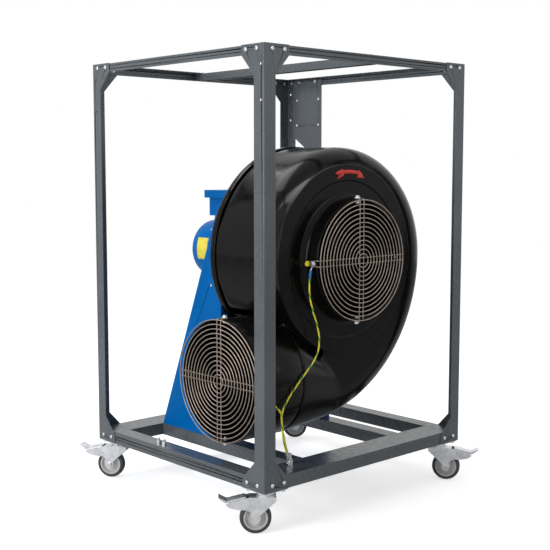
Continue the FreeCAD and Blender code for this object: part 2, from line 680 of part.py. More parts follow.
fork_shape = castor_fork()
wheel_shape = castor_wheel()
tyre_shape = castor_tyre()
pedal_shape = castor_pedal()
top_plates = []
for corner, angle in PEDAL_HEADINGS.items():
    side_x, side_y = sides(corner)
    top_plates.append(castor_top_plate(side_x, side_y))
    export("castor_%s_fork" % corner, placed(fork_shape, side_x, side_y, angle))
    export("castor_%s_wheel" % corner, placed(wheel_shape, side_x, side_y, angle))
    export("castor_%s_tyre" % corner, placed(tyre_shape, side_x, side_y, angle))
    export("castor_%s_pedal" % corner, placed(pedal_shape, side_x, side_y, angle))
export("castor_plates", top_plates)
export("frame_fasteners", fasteners + [castor_bolt(at) for at in castor_holes])

# ---------------------------------------------------------------- volute
# The scroll is three tangent arcs: up the left side, over the top and right, and along the bottom.
arc2_r = SCROLL_R
arc2 = V(SCROLL_RIGHT - arc2_r, 0, SCROLL_TOP - arc2_r)
arc1_r = SCROLL_LEFT_R
arc1 = arc2 + heading(SCROLL_LEFT_BREAK) * (arc2_r - arc1_r)
arc3_r = SCROLL_BOTTOM + arc2.z
arc3 = V(SCROLL_RIGHT - arc3_r, 0, arc2.z)


def scroll_sector(centre, radius, start, end, offset, back):
    """Pie of the scroll about one arc's centre, with the rounded front edge."""
    radius = radius - offset
    front = CASING_FRONT + offset
    corner = CASING_ROUND - offset
    middle = AXIS + centre
    turn = FreeCAD.Rotation(AXIS_Y, -start)

    def at(r, y):
        return middle + turn.multVec(V(r, 0, 0)) + V(0, y, 0)

    bend = corner * (1 - math.sqrt(0.5))
    edges = [
        Part.LineSegment(at(0, front), at(radius - corner, front)),
        Part.Arc(at(radius - corner, front), at(radius - bend, front + bend), at(radius, front + corner)),
        Part.LineSegment(at(radius, front + corner), at(radius, back)),
        Part.LineSegment(at(radius, back), at(0, back)),
        Part.LineSegment(at(0, back), at(0, front))]
    face = Part.Face(Part.Wire([edge.toShape() for edge in edges]))
    return face.revolve(middle, V(0, -1, 0), end - start)


def rounded_section(x, y0, y1, z0, z1, corner):
    """Eight-edge rounded rectangle in the plane of x."""
    bend = corner * (1 - math.sqrt(0.5))
    edges = [
        Part.LineSegment(V(x, y0, z0 + corner), V(x, y0, z1 - corner)),
        Part.Arc(V(x, y0, z1 - corner), V(x, y0 + bend, z1 - bend), V(x, y0 + corner, z1)),
        Part.LineSegment(V(x, y0 + corner, z1), V(x, y1 - corner, z1)),
        Part.Arc(V(x, y1 - corner, z1), V(x, y1 - bend, z1 - bend), V(x, y1, z1 - corner)),
        Part.LineSegment(V(x, y1, z1 - corner), V(x, y1, z0 + corner)),
        Part.Arc(V(x, y1, z0 + corner), V(x, y1 - bend, z0 + bend), V(x, y1 - corner, z0)),
        Part.LineSegment(V(x, y1 - corner, z0), V(x, y0 + corner, z0)),
        Part.Arc(V(x, y0 + corner, z0), V(x, y0 + bend, z0 + bend), V(x, y0, z0 + corner))]
    return Part.Wire([edge.toShape() for edge in edges])


def outlet_body(offset, reach):
    """Transition from the scroll's section to the round spigot, and the spigot."""
    bottom = AXIS_HEIGHT - SCROLL_BOTTOM + 5
    root = rounded_section(OUTLET_ROOT, CASING_FRONT + offset, CASING_BACK - offset, bottom + offset,
                           AXIS_HEIGHT + OUTLET_ROOT_TOP - offset, OUTLET_ROOT_ROUND - offset)
    radius = OUTLET_R - offset
    nearly_round = radius * 0.96
    end = rounded_section(OUTLET_START, OUTLET_Y - radius, OUTLET_Y + radius, OUTLET_HEIGHT - radius,
                          OUTLET_HEIGHT + radius, nearly_round)
    transition = Part.makeLoft([root, end], True, True)
    start = OUTLET_CENTRE + V(OUTLET_START + 1, 0, 0)
    spigot = rod(radius, start, V(-1, 0, 0), OUTLET_START + 1 - OUTLET_LIP + reach)
    return transition, spigot


def volute_body(offset, back, reach):
    """The volute's solid envelope, moved inward by offset."""
    pieces = [
        scroll_sector(arc1, arc1_r, SCROLL_LEFT_BREAK, 262, offset, back),
        scroll_sector(arc2, arc2_r, 0, SCROLL_LEFT_BREAK, offset, back),
        scroll_sector(arc3, arc3_r, -90, 0, offset, back)]
    boss_front = CASING_FRONT + offset
    boss = rod(INLET_BOSS_R - offset, AXIS + V(0, boss_front, 0), AXIS_Y, back - boss_front)
    pieces.append(boss)
    pieces.extend(outlet_body(offset, reach))
    return pieces[0].fuse(pieces[1:])


volute_outer = volute_body(0, CASING_BACK, 0)
volute_inner = volute_body(CASING_WALL, CASING_BACK + 1, 1)
inlet_hole = rod(INLET_HOLE_R, AXIS + V(0, CASING_FRONT - 1, 0), AXIS_Y, CASING_WALL + 2)
shell = volute_outer.cut(volute_inner).cut(inlet_hole)
shell = max(shell.Solids, key=lambda s: s.Volume)
spigot_side = box(OUTLET_LIP - 1, OUTLET_START, OUTLET_Y - OUTLET_R - 1, OUTLET_Y + OUTLET_R + 1,
                  OUTLET_HEIGHT - OUTLET_R - 1, OUTLET_HEIGHT + OUTLET_R + 1)
casing = shell.cut(spigot_side)
spigot = pipe(OUTLET_R, OUTLET_R - CASING_WALL, OUTLET_CENTRE + V(OUTLET_LIP, 0, 0), AXIS_X,
              OUTLET_START - OUTLET_LIP)


def scroll_plate(lip, y0, y1):
    """Flat plate with the scroll's outline plus a lip, from y0 to y1."""
    a1 = AXIS + arc1
    a2 = AXIS + arc2
    a3 = AXIS + arc3
    tongue = 222.0
    start = a1 + heading(tongue) * (arc1_r + lip)
    below = a3 + heading(-90) * (arc3_r + lip)
    corner = V(start.x, 0, below.z)
    edges = [
        Part.Arc(start, a1 + heading(190) * (arc1_r + lip),
                 a1 + heading(SCROLL_LEFT_BREAK) * (arc1_r + lip)),
        Part.Arc(a2 + heading(SCROLL_LEFT_BREAK) * (arc2_r + lip), a2 + heading(80) * (arc2_r + lip),
                 a2 + AXIS_X * (arc2_r + lip)),
        Part.Arc(a3 + AXIS_X * (arc3_r + lip), a3 + heading(-45) * (arc3_r + lip), below),
        Part.LineSegment(below, corner),
        Part.LineSegment(corner, start)]
    face = Part.Face(Part.Wire([edge.toShape() for edge in edges]))
    face.translate(V(0, y0, 0))
    return face.extrude(V(0, y1 - y0, 0))


back_plate = scroll_plate(BACK_PLATE_LIP, CASING_BACK, 0)
for outlet_piece in outlet_body(0, 0):
    back_plate = back_plate.cut(outlet_piece)
back_plate = back_plate.cut(rod(SHAFT_HOLE_R, AXIS + V(0, CASING_BACK - 1, 0), AXIS_Y, 30))
back_plate = max(back_plate.Solids, key=lambda s: s.Volume)

casing_bolt_depth = -CASING_BACK + PEDESTAL_SHEET
casing_bolts = []
casing_bolt_holes = []
for angle in CASING_BOLT_HEADINGS:
    at = AXIS + heading(angle) * CASING_BOLT_CIRCLE_R + V(0, CASING_BACK, 0)
    casing_bolts.append(hex_bolt(at, AXIS_Y, casing_bolt_depth + 6, CASING_BOLT_D))
    casing_bolt_holes.append(drilled(CASING_BOLT_D / 2 + HOLE_CLEARANCE, at, AXIS_Y, casing_bolt_depth + 1))
CASING_BOLT_HOLES = Part.makeCompound(casing_bolt_holes)
export("casing_back_plate", back_plate.cut(CASING_BOLT_HOLES))

# ---------------------------------------------------------------- inlet ring and nozzle
plate_face = CASING_FRONT - INLET_PLATE_T
inner_collar = COLLAR_R - COLLAR_WALL
inlet_profile = [
    (INLET_PLATE_R, CASING_FRONT), (INLET_PLATE_R, plate_face + 1.5), (INLET_PLATE_R - 1.5, plate_face),
    (222, plate_face), (219, plate_face + 3), (186, plate_face + 3), (178, plate_face + 1),
    (172, plate_face - 5), (COLLAR_R, plate_face - 13), (COLLAR_R, COLLAR_LIP + 2),
    (COLLAR_R - 1.5, COLLAR_LIP), (inner_collar + 1.5, COLLAR_LIP), (inner_collar, COLLAR_LIP + 2),
    (inner_collar, CASING_FRONT)]
inlet_ring = turned(inlet_profile)

# the nozzle's wide end is glued into the collar; its curve narrows to the impeller's eye
nozzle_seat = plate_face - 9
nozzle_run = NOZZLE_END - CASING_FRONT
nozzle_drop = inner_collar - NOZZLE_R
nozzle_curve = []
for step in range(6):
    along = step / 5
    narrowed = nozzle_drop * (1 - math.cos(along * math.pi / 2)) ** 0.72
    nozzle_curve.append((inner_collar - narrowed, CASING_FRONT + nozzle_run * along))
nozzle_outer = [(inner_collar, nozzle_seat)] + nozzle_curve
nozzle_inner = [(r - NOZZLE_WALL, y) for r, y in reversed(nozzle_outer)]
export("inlet_nozzle", turned(nozzle_outer + nozzle_inner))

# bolts through the collars: four round each mouth
inlet_bolt_y = INLET_GUARD_Y + GUARD_BOLT_BACK
outlet_bolt_x = OUTLET_GUARD_X + GUARD_BOLT_BACK
guard_seat = COLLAR_WASHER_T + GUARD_WIRE + 0.15
inlet_bolts = []
outlet_bolts = []
for angle in (0, 90, 180, 270):
    out = heading(angle)
    inlet_bolts.append((AXIS + out * COLLAR_R + V(0, inlet_bolt_y, 0), out))
    turn = math.radians(angle)
    out = V(0, math.cos(turn), math.sin(turn))
    outlet_bolts.append((OUTLET_CENTRE + out * OUTLET_R + V(outlet_bolt_x, 0, 0), out))
collar_hole_r = COLLAR_BOLT_D / 2 + HOLE_CLEARANCE
COLLAR_HOLES = Part.makeCompound(
    [drilled(collar_hole_r, at, -out, COLLAR_WALL + 2) for at, out in inlet_bolts]
    + [drilled(collar_hole_r, at, -out, CASING_WALL + 2) for at, out in outlet_bolts])
export("inlet_ring", inlet_ring.cut(COLLAR_HOLES))
export("scroll_casing", casing)
export("outlet_spigot", spigot.cut(COLLAR_HOLES))


def collar_bolt(at, out, wall, lug_t):
    """Radial bolt that clamps a guard wire loop, and a lug where it has one, to its collar."""
    seat = guard_seat + lug_t
    head = hexagon(COLLAR_BOLT_ACROSS, COLLAR_HEAD_H, at + out * seat, out)
    washer = rod(COLLAR_WASHER_R, at + out * (guard_seat - COLLAR_WASHER_T), out, COLLAR_WASHER_T)
    shank = rod(COLLAR_BOLT_D / 2, at - out * (wall + 7), out, wall + 7 + seat + 1)
    nut = hexagon(COLLAR_BOLT_ACROSS, 5, at - out * (wall + 0.15), -out)
    return fused([head, washer, shank, nut])


lug_bolt = 2                   # the bolt of each collar that carries an earth lug
collar_fasteners = []
for bolts, wall in ((inlet_bolts, COLLAR_WALL), (outlet_bolts, CASING_WALL)):
    for i, (at, out) in enumerate(bolts):
        collar_fasteners.append(collar_bolt(at, out, wall, LUG_T if i == lug_bolt else 0))


# ---------------------------------------------------------------- wire guards
def guard(collar_radius):
    """Guard facing -Z at the origin: rings, and two pairs of cross wires behind them.

    Each ring is arcs butted end to end. The wires of a pair run straight across and are welded to a
    clip at each end, whose legs turn back along the collar and join in a loop round its bolt."""
    wire = GUARD_WIRE / 2
    arc = 360.0 / GUARD_RING_ARCS
    shapes = []
    for i in range(GUARD_RINGS):
        for k in range(GUARD_RING_ARCS):
            ring = Part.makeTorus(GUARD_R - GUARD_PITCH * i, wire, ORIGIN, AXIS_Z, 0, 360, arc)
            ring.rotate(ORIGIN, AXIS_Z, arc * k)
            shapes.append(ring)
    leg_x = collar_radius + wire + 0.05
    leg_start = GUARD_BOLT_BACK - GUARD_LEG
    loop = GUARD_PAIR / 2
    for axis_turn, depth in ((0, GUARD_WIRE), (90, 2 * GUARD_WIRE)):
        # the bend lies under the outer ring, and its legs slope back to the collar
        bend_x = GUARD_R
        for _ in range(8):
            turn = math.pi - math.atan2(leg_start - depth, bend_x - leg_x)
            bend_x = GUARD_R - wire + GUARD_BEND_R * math.tan(turn / 2)
        weld_x = bend_x - GUARD_CLIP_RUN
        for side in (-loop, loop):
            bar = rod(wire, V(-weld_x, side, depth), AXIS_X, 2 * weld_x)
            bar.rotate(ORIGIN, AXIS_Z, axis_turn)
            shapes.append(bar)
        for end_turn in (0, 180):
            legs = []
            for side in (-loop, loop):
                route = [V(leg_x, side, GUARD_BOLT_BACK), V(leg_x, side, leg_start),
                         V(bend_x, side, depth), V(weld_x, side, depth)]
                path, _ = rounded_path(route, lambda turn, shorter: GUARD_BEND_R)
                legs.append(tube_along(path, route[0], V(0, 0, -1), GUARD_WIRE))
            centre = V(leg_x, 0, GUARD_BOLT_BACK)
            hoop = Part.makeTorus(loop, wire, centre, AXIS_X, 0, 360, 180)
            clip = fused(legs + [hoop])
            clip.rotate(ORIGIN, AXIS_Z, axis_turn + end_turn)
            shapes.append(clip)
    return shapes


def stood(shapes, position, facing):
    """Set a guard built about +Z at position, its inner side along facing."""
    stand = FreeCAD.Placement(position, FreeCAD.Rotation(AXIS_Z, facing))
    result = []
    for shape in shapes:
        copy = shape.copy()
        copy.Placement = stand.multiply(copy.Placement)
        result.append(copy)
    return result


inlet_guard = stood(guard(COLLAR_R), AXIS + V(0, INLET_GUARD_Y, 0), AXIS_Y)
outlet_guard = stood(guard(OUTLET_R), OUTLET_CENTRE + V(OUTLET_GUARD_X, 0, 0), AXIS_X)
export("inlet_guard", inlet_guard)
export("outlet_guard", outlet_guard)

# ---------------------------------------------------------------- impeller
blade_front = IMPELLER_BACK - IMPELLER_DEPTH
back_disc = pipe(IMPELLER_R, HUB_BOSS_R - 4, AXIS + V(0, IMPELLER_BACK - IMPELLER_PLATE_T, 0), AXIS_Y,
                 IMPELLER_PLATE_T)
shroud_front = blade_front - IMPELLER_PLATE_T
shroud = turned([
    (IMPELLER_R, blade_front), (IMPELLER_R, shroud_front), (EYE_R + 12, shroud_front),
    (EYE_R + 5, shroud_front - 2), (EYE_R + 2, shroud_front - 8), (EYE_R, shroud_front - 8),
    (EYE_R + 1, blade_front - 1), (EYE_R + 4, blade_front)])
blade_pieces = []
blade_inner = EYE_R * 0.82
for i in range(BLADES):
    turn = 360.0 * i / BLADES
    start = heading(turn) * (IMPELLER_R - 1)
    middle = heading(turn - 14) * (IMPELLER_R * 0.8)
    end = heading(turn - 38) * blade_inner
    outer_arc = Part.Arc(start, middle, end)
    radius = outer_arc.toShape().Curve.Radius
    centre = outer_arc.toShape().Curve.Center
    inner_points = [centre + (p - centre) * ((radius - BLADE_T) / radius) for p in (start, middle, end)]
    inner_arc = Part.Arc(inner_points[0], inner_points[1], inner_points[2])
    wire = Part.Wire([outer_arc.toShape(), Part.LineSegment(end, inner_points[2]).toShape(),
                      inner_arc.toShape(), Part.LineSegment(inner_points[0], start).toShape()])
    face = Part.Face(wire)
    face.translate(AXIS + V(0, blade_front - 0.5, 0))
    blade_pieces.append(face.extrude(V(0, IMPELLER_DEPTH + 1 - IMPELLER_PLATE_T, 0)))
impeller = back_disc.fuse([shroud] + blade_pieces)
export("impeller", impeller)

hub_front = -108.0
hub_bore = SHAFT_R + 0.02
hub_shape = turned([
    (hub_bore, hub_front), (HUB_BOSS_R - 8, hub_front), (HUB_BOSS_R - 4.05, hub_front + 8),
    (HUB_BOSS_R - 4.05, IMPELLER_BACK), (HUB_BOSS_R + 14, IMPELLER_BACK),
    (HUB_BOSS_R + 14, IMPELLER_BACK + 8), (HUB_BOSS_R - 6, IMPELLER_BACK + 12),
    (HUB_BOSS_R - 6, IMPELLER_BACK + 22), (hub_bore, IMPELLER_BACK + 22)])
hub_cap = fused([rod(SHAFT_R + 8, AXIS + V(0, hub_front - 4, 0), AXIS_Y, 4),
                 rod(5, AXIS + V(0, hub_front - 4, 0), AXIS_Y, 14),
                 hexagon(17, 8, AXIS + V(0, hub_front - 4, 0), V(0, -1, 0))])
export("impeller_hub", [hub_shape, hub_cap])

# ---------------------------------------------------------------- motor, turning pieces
shaft_back = COWL_BACK - 22
shaft = turned([
    (0, hub_front + 12), (SHAFT_R, hub_front + 12), (SHAFT_R, MOTOR_FRONT), (SHAFT_R + 3, MOTOR_FRONT),
    (SHAFT_R + 3, CORE_START), (ROTOR_R, CORE_START), (ROTOR_R, CORE_END), (SHAFT_R + 3, CORE_END),
    (SHAFT_R + 3, MOTOR_BACK - 6), (SHAFT_R, MOTOR_BACK - 6), (SHAFT_R, MOTOR_BACK + REAR_SHIELD_T),
    (SHAFT_R - 2, MOTOR_BACK + REAR_SHIELD_T), (SHAFT_R - 2, shaft_back), (0, shaft_back)])
export("motor_rotor", shaft)

fan_front = MOTOR_BACK + REAR_SHIELD_T + 6
fan_hub = pipe(20, SHAFT_R - 2 + 0.02, AXIS + V(0, fan_front, 0), AXIS_Y, 36)
fan_disc = pipe(70, 18, AXIS + V(0, fan_front, 0), AXIS_Y, 3)
vanes = []
for i in range(8):
    vane = box(19, 72, -1.2, 1.2, 0, 34)
    facing = FreeCAD.Rotation(AXIS_Z, AXIS_Y).multiply(FreeCAD.Rotation(AXIS_Z, 45 * i))
    vane.Placement = FreeCAD.Placement(AXIS + V(0, fan_front + 1, 0), facing)
    vanes.append(vane)
export("motor_cooling_fan", fused([fan_hub, fan_disc] + vanes))

# ---------------------------------------------------------------- motor, fixed pieces
shield_front = PEDESTAL_SHEET
bearing_seat = BEARING_R + 0.02
flange_back = shield_front + FLANGE_T
shaft_way = SHAFT_R + 1.5
shield_r = FIN_R - 2
bearing_front = MOTOR_FRONT - BEARING_T
shield_back = MOTOR_BACK + REAR_SHIELD_T
flange_shield = turned([
    (FLANGE_R, shield_front), (FLANGE_R, flange_back), (SHIELD_NECK_R, flange_back),
    (SHIELD_NECK_R, MOTOR_FRONT - 10), (shield_r, MOTOR_FRONT - 4), (shield_r, MOTOR_FRONT),
    (bearing_seat, MOTOR_FRONT), (bearing_seat, bearing_front), (shaft_way, bearing_front),
    (shaft_way, shield_front)])
rear_shield = turned([
    (shield_r, MOTOR_BACK), (shield_r, shield_back - 4), (shield_r - 6, shield_back),
    (shaft_way, shield_back), (shaft_way, shield_back - 4), (bearing_seat, shield_back - 4),
    (bearing_seat, MOTOR_BACK - 6), (bearing_seat + 5, MOTOR_BACK - 6), (bearing_seat + 5, MOTOR_BACK)])
flange_bolt_points = []
for angle in (45, 135, 225, 315):
    flange_bolt_points.append(AXIS + heading(angle) * FLANGE_BOLT_CIRCLE_R)
FLANGE_HOLES = Part.makeCompound([
    drilled(FLANGE_BOLT_D / 2 + HOLE_CLEARANCE, at, AXIS_Y, flange_back + 1) for at in flange_bolt_points])
export("motor_flange_shield", flange_shield.cut(FLANGE_HOLES))
export("motor_rear_shield", rear_shield)

ring_r = SHAFT_R + RUNNING_FIT
bearings = []
for bearing_y in (bearing_front, shield_back - 4 - BEARING_T):
    bearings.append(pipe(BEARING_R, ring_r, AXIS + V(0, bearing_y, 0), AXIS_Y, BEARING_T - 0.2))
export("motor_bearings", bearings)

housing = pipe(MOTOR_R, MOTOR_R - MOTOR_WALL, AXIS + V(0, MOTOR_FRONT, 0), AXIS_Y, MOTOR_BACK - MOTOR_FRONT)
fins = []
for i in range(FIN_COUNT):
    angle = 360.0 * i / FIN_COUNT
    if 68 < angle < 112:
        continue
    fin = box(MOTOR_R - 2, FIN_R, MOTOR_FRONT + 2, COWL_FRONT - 4, -FIN_T / 2, FIN_T / 2)
    fin.rotate(ORIGIN, AXIS_Y, -angle)
    fin.translate(AXIS)
    fins.append(fin)
half_neck = NECK_SIZE / 2
neck_y = (BOX_FRONT + BOX_BACK) / 2 - 6
neck = box(-half_neck, half_neck, neck_y - half_neck, COWL_FRONT - 6, AXIS_HEIGHT + MOTOR_R - 12, BOX_BOTTOM)
neck = neck.cut(rod(MOTOR_R, AXIS + V(0, MOTOR_FRONT, 0), AXIS_Y, MOTOR_BACK - MOTOR_FRONT))
wire_way = rod(10, V(0, neck_y, AXIS_HEIGHT + MOTOR_R - 20), AXIS_Z, BOX_BOTTOM - AXIS_HEIGHT - MOTOR_R + 21)
finned = housing.fuse(fins).cut(wire_way).removeSplitter()
export("motor_housing", [finned, neck.cut(wire_way)])

stator_fit = MOTOR_R - MOTOR_WALL - 0.02
stator = pipe(stator_fit, STATOR_R, AXIS + V(0, CORE_START, 0), AXIS_Y, CORE_END - CORE_START)
coil_length = 18.0
coils = []
for coil_y in (CORE_START - coil_length, CORE_END):
    coils.append(pipe(MOTOR_R - MOTOR_WALL - 5, STATOR_R + 3, AXIS + V(0, coil_y, 0), AXIS_Y, coil_length))
export("stator_pack", [stator] + coils)

cowl = turned([
    (COWL_R - COWL_T, COWL_FRONT), (COWL_R, COWL_FRONT), (COWL_R, COWL_BACK - 10),
    (COWL_R - 3, COWL_BACK - 3), (COWL_R - 10, COWL_BACK), (0, COWL_BACK), (0, COWL_BACK - COWL_T),
    (COWL_R - 11, COWL_BACK - COWL_T), (COWL_R - 5, COWL_BACK - 5), (COWL_R - COWL_T, COWL_BACK - 11)])
vents = []
for ring in range(4):
    vent_r = 22 + 14 * ring
    for i in range(6 + 6 * ring):
        at = AXIS + heading(360.0 * i / (6 + 6 * ring)) * vent_r + V(0, COWL_BACK - COWL_T - 1, 0)
        vents.append(rod(3.4, at, AXIS_Y, COWL_T + 2))
cowl_lugs = []
for angle in (45, 135, 225, 315):
    lug = box(FIN_R - 2.5, COWL_R - COWL_T + 0.3, COWL_FRONT + 5, COWL_FRONT + 15, -5, 5)
    lug.rotate(ORIGIN, AXIS_Y, -angle)
    lug.translate(AXIS)
    cowl_lugs.append(lug)
cowl = cowl.fuse(cowl_lugs).cut(Part.makeCompound(vents))
cowl = cowl.cut(rod(FIN_R - 1.98, AXIS + V(0, COWL_FRONT - 1, 0), AXIS_Y, 30))
export("motor_fan_cowl", cowl.removeSplitter())

half_box = BOX_WIDTH / 2
terminal = box(-half_box, half_box, BOX_FRONT, BOX_BACK, BOX_BOTTOM, BOX_TOP)
terminal = terminal.makeFillet(6, [e for e in terminal.Edges if abs(e.Length - BOX_HEIGHT) < 0.01])
inside_x = half_box - BOX_WALL
inside_front = BOX_FRONT + BOX_WALL
inside_back = BOX_BACK - BOX_WALL
inside_floor = BOX_BOTTOM + BOX_WALL
terminal = terminal.cut(box(-inside_x, inside_x, inside_front, inside_back, inside_floor, BOX_TOP + 1))
gland_at = V(half_box, (BOX_FRONT + BOX_BACK) / 2, (BOX_BOTTOM + BOX_TOP) / 2)
terminal = terminal.cut(rod(GLAND_R - 2, gland_at + V(1, 0, 0), V(-1, 0, 0), BOX_WALL + 2))
terminal = terminal.cut(rod(10, V(0, neck_y, BOX_BOTTOM - 1), AXIS_Z, BOX_WALL + 2))
board = box(-28, 28, BOX_FRONT + 24, BOX_BACK - 24, inside_floor, inside_floor + 12)
terminal = terminal.fuse(board.cut(rod(11, V(0, neck_y, BOX_BOTTOM), AXIS_Z, 40)))
corner_bosses = []
lid_screws = []
boss_r = 6.0
for sx in (-1, 1):
    for by in (inside_front + 5, inside_back - 5):
        bx = sx * (inside_x - 5)
        corner_bosses.append(rod(boss_r, V(bx, by, BOX_BOTTOM + 1), AXIS_Z, BOX_HEIGHT - 1))
        lid_screws.append(V(bx, by, BOX_TOP + LID_T))
terminal = terminal.fuse(corner_bosses)
tapped = [rod(2.6, at - V(0, 0, LID_T + 20), AXIS_Z, 21) for at in lid_screws]
terminal = terminal.cut(Part.makeCompound(tapped))
export("terminal_box", terminal.removeSplitter())

lid_x = half_box + LID_OVERHANG
lid_top = BOX_TOP + LID_T
lid = box(-lid_x, lid_x, BOX_FRONT - LID_OVERHANG, BOX_BACK + LID_OVERHANG, BOX_TOP, lid_top)
lid = lid.makeFillet(8, [e for e in lid.Edges if abs(e.Length - LID_T) < 0.01])
lid = lid.cut(box(-inside_x, inside_x, inside_front + 12, inside_back - 12, BOX_TOP - 1, lid_top - 8))
screw_ways = [rod(2.8, at - V(0, 0, LID_T + 1), AXIS_Z, LID_T + 2) for at in lid_screws]
counterbores = [rod(5.5, at - V(0, 0, 6), AXIS_Z, 7) for at in lid_screws]
export("terminal_box_lid", lid.cut(Part.makeCompound(screw_ways + counterbores)))

gland_body = rod(GLAND_R, gland_at, AXIS_X, 6).fuse(hexagon(24, 8, gland_at + V(6, 0, 0), AXIS_X))
gland_body = gland_body.fuse(rod(GLAND_R + 0.5, gland_at + V(14, 0, 0), AXIS_X, GLAND_LENGTH - 14))
gland_body = gland_body.fuse(rod(GLAND_R - 2.05, gland_at - V(BOX_WALL + 4, 0, 0), AXIS_X, BOX_WALL + 5))
gland_body = gland_body.cut(rod(6, gland_at - V(10, 0, 0), AXIS_X, GLAND_LENGTH + 20))
export("cable_gland", gland_body.removeSplitter())

motor_screws = []
for at in flange_bolt_points:
    grip = FLANGE_T + PEDESTAL_SHEET
    motor_screws.append(hex_bolt(at + V(0, flange_back, 0), V(0, -1, 0), grip, FLANGE_BOLT_D))
for at in lid_screws:
    head = rod(4.5, at - V(0, 0, 6), AXIS_Z, 4)
    shank = rod(2.5, at - V(0, 0, LID_T + 16), AXIS_Z, LID_T + 11)
    motor_screws.append(fused([head, shank]))
for angle in (45, 135, 225, 315):
    at = AXIS + heading(angle) * COWL_R + V(0, COWL_FRONT + 10, 0)
    motor_screws.append(rod(4, at + heading(angle) * 0.05, heading(angle), 2.2))
export("fan_fasteners", casing_bolts + collar_fasteners + motor_screws)

# ---------------------------------------------------------------- pedestal
# sheets welded edge to edge: a front plate, and on each side a cheek and a foot turned inward
front_plate = box(-PEDESTAL_HALF, PEDESTAL_HALF, 0, PEDESTAL_SHEET, BASE_TOP, PEDESTAL_TOP)
front_plate = front_plate.cut(rod(SHAFT_HOLE_R, AXIS - V(0, 1, 0), AXIS_Y, PEDESTAL_SHEET + 2))
front_plate = front_plate.cut(FLANGE_HOLES)
front_plate = front_plate.cut(CASING_BOLT_HOLES)
notch_r = OUTLET_R + OUTLET_NOTCH_GAP
outlet_notch = rod(notch_r, OUTLET_CENTRE + V(OUTLET_LIP, 0, 0), AXIS_X, OUTLET_ROOT - OUTLET_LIP)
export("motor_pedestal", front_plate.cut(outlet_notch))

cheek_points = ((PEDESTAL_SHEET, BASE_TOP), (PEDESTAL_DEPTH, BASE_TOP), (PEDESTAL_TOP_DEPTH, PEDESTAL_TOP),
                (PEDESTAL_SHEET, PEDESTAL_TOP))
cheek_sheets = []
for side in (-1, 1):
    cheek = prism([V(0, y, z) for y, z in cheek_points], V(-side * PEDESTAL_SHEET, 0, 0))
    cheek.translate(V(side * PEDESTAL_HALF, 0, 0))
    sight_start = V(side * PEDESTAL_HALF - 6, PEDESTAL_HOLE_Y, AXIS_HEIGHT - PEDESTAL_HOLE_DROP)
    cheek = cheek.cut(rod(PEDESTAL_HOLE_D / 2, sight_start, AXIS_X, 12))
    foot_far = side * (PEDESTAL_HALF - PEDESTAL_SHEET)
    foot_near = side * (PEDESTAL_HALF - PEDESTAL_FOOT)
    foot = box(min(foot_far, foot_near), max(foot_far, foot_near), PEDESTAL_SHEET, PEDESTAL_DEPTH,
               BASE_TOP, BASE_TOP + PEDESTAL_SHEET)
    cheek_sheets.append(cheek.cut(outlet_notch))
    cheek_sheets.append(foot.cut(FOOT_HOLES))
export("pedestal_cheeks", cheek_sheets)

# ---------------------------------------------------------------- earth bonding


def stud(x, y, height, upper_nut):
    """Threaded stud through the tube's top wall: nut below, nut above, and one more at upper_nut."""
    under = V(x, y, BASE_TOP - SHEET)
    pieces = [rod(STUD_D / 2, under, AXIS_Z, SHEET + height),
              hexagon(STUD_NUT, 5, under - V(0, 0, 5), AXIS_Z),
              hexagon(STUD_NUT, STUD_NUT_H, V(x, y, BASE_TOP), AXIS_Z)]
    if upper_nut:
        pieces.append(hexagon(STUD_NUT, STUD_NUT_H, V(x, y, upper_nut), AXIS_Z))
    return fused(pieces)


lug_seat = BASE_TOP + STUD_NUT_H
export("earth_studs", [stud(x, y, EARTH_STUD_HEIGHT, 0) for x, y in EARTH_STUDS]
       + [stud(BOND_STUD[0], BOND_STUD[1], BOND_STUD_HEIGHT, lug_seat + 2 * LUG_T)])


def cord(points, diameter, label):
    """Round tube whose arcs are as large as their runs allow."""
    route = [V(*p) for p in points]
    path, radii = rounded_path(route, lambda turn, shorter: 0.45 * shorter / math.tan(turn / 2))
    tube = tube_along(path, route[0], route[1] - route[0], diameter)
    expected = math.pi * diameter ** 2 / 4 * path.Length
    print("%s length %.1f radii %s volume ratio %.4f" % (
        label, path.Length, " ".join("%.0f" % r for r in radii), tube.Volume / expected))
    return tube


export("earth_cable_inlet", cord(INLET_WIRE, EARTH_D, "inlet earth wire"))
export("earth_cable_outlet", cord(OUTLET_WIRE, EARTH_D, "outlet earth wire"))


def lug(ring_centre, ring_axis, hole_r, wire_end, wire_next, strip=LUG_REACH):
    """Ring terminal: an eye, a strip beyond it, a sleeve round the wire's end and a tongue between."""
    end = V(*wire_end)
    along = (end - V(*wire_next)).normalize()
    sleeve_end = end + along * LUG_SLEEVE
    sleeve = rod(EARTH_D / 2 + LUG_SLEEVE_WALL, end, along, LUG_SLEEVE)
    eye_r = hole_r + LUG_RIM
    reach = eye_r + strip
    flat = pipe(eye_r, hole_r, ORIGIN, AXIS_Z, LUG_T)
    flat = flat.fuse(box(hole_r + LUG_RIM / 2, reach, -LUG_STRIP / 2, LUG_STRIP / 2, 0, LUG_T))
    toward = sleeve_end - ring_centre
    toward = toward - ring_axis * toward.dot(ring_axis)
    toward.normalize()
    flat.Placement = FreeCAD.Placement(ring_centre, FreeCAD.Rotation(toward, ORIGIN, ring_axis, "ZXY"))
    root = ring_centre + toward * (reach - LUG_TONGUE_R) + ring_axis * (LUG_T / 2)
    tongue = rod(LUG_TONGUE_R, root, sleeve_end - root, (sleeve_end - root).Length + 1)
    return fused([flat, tongue, sleeve])


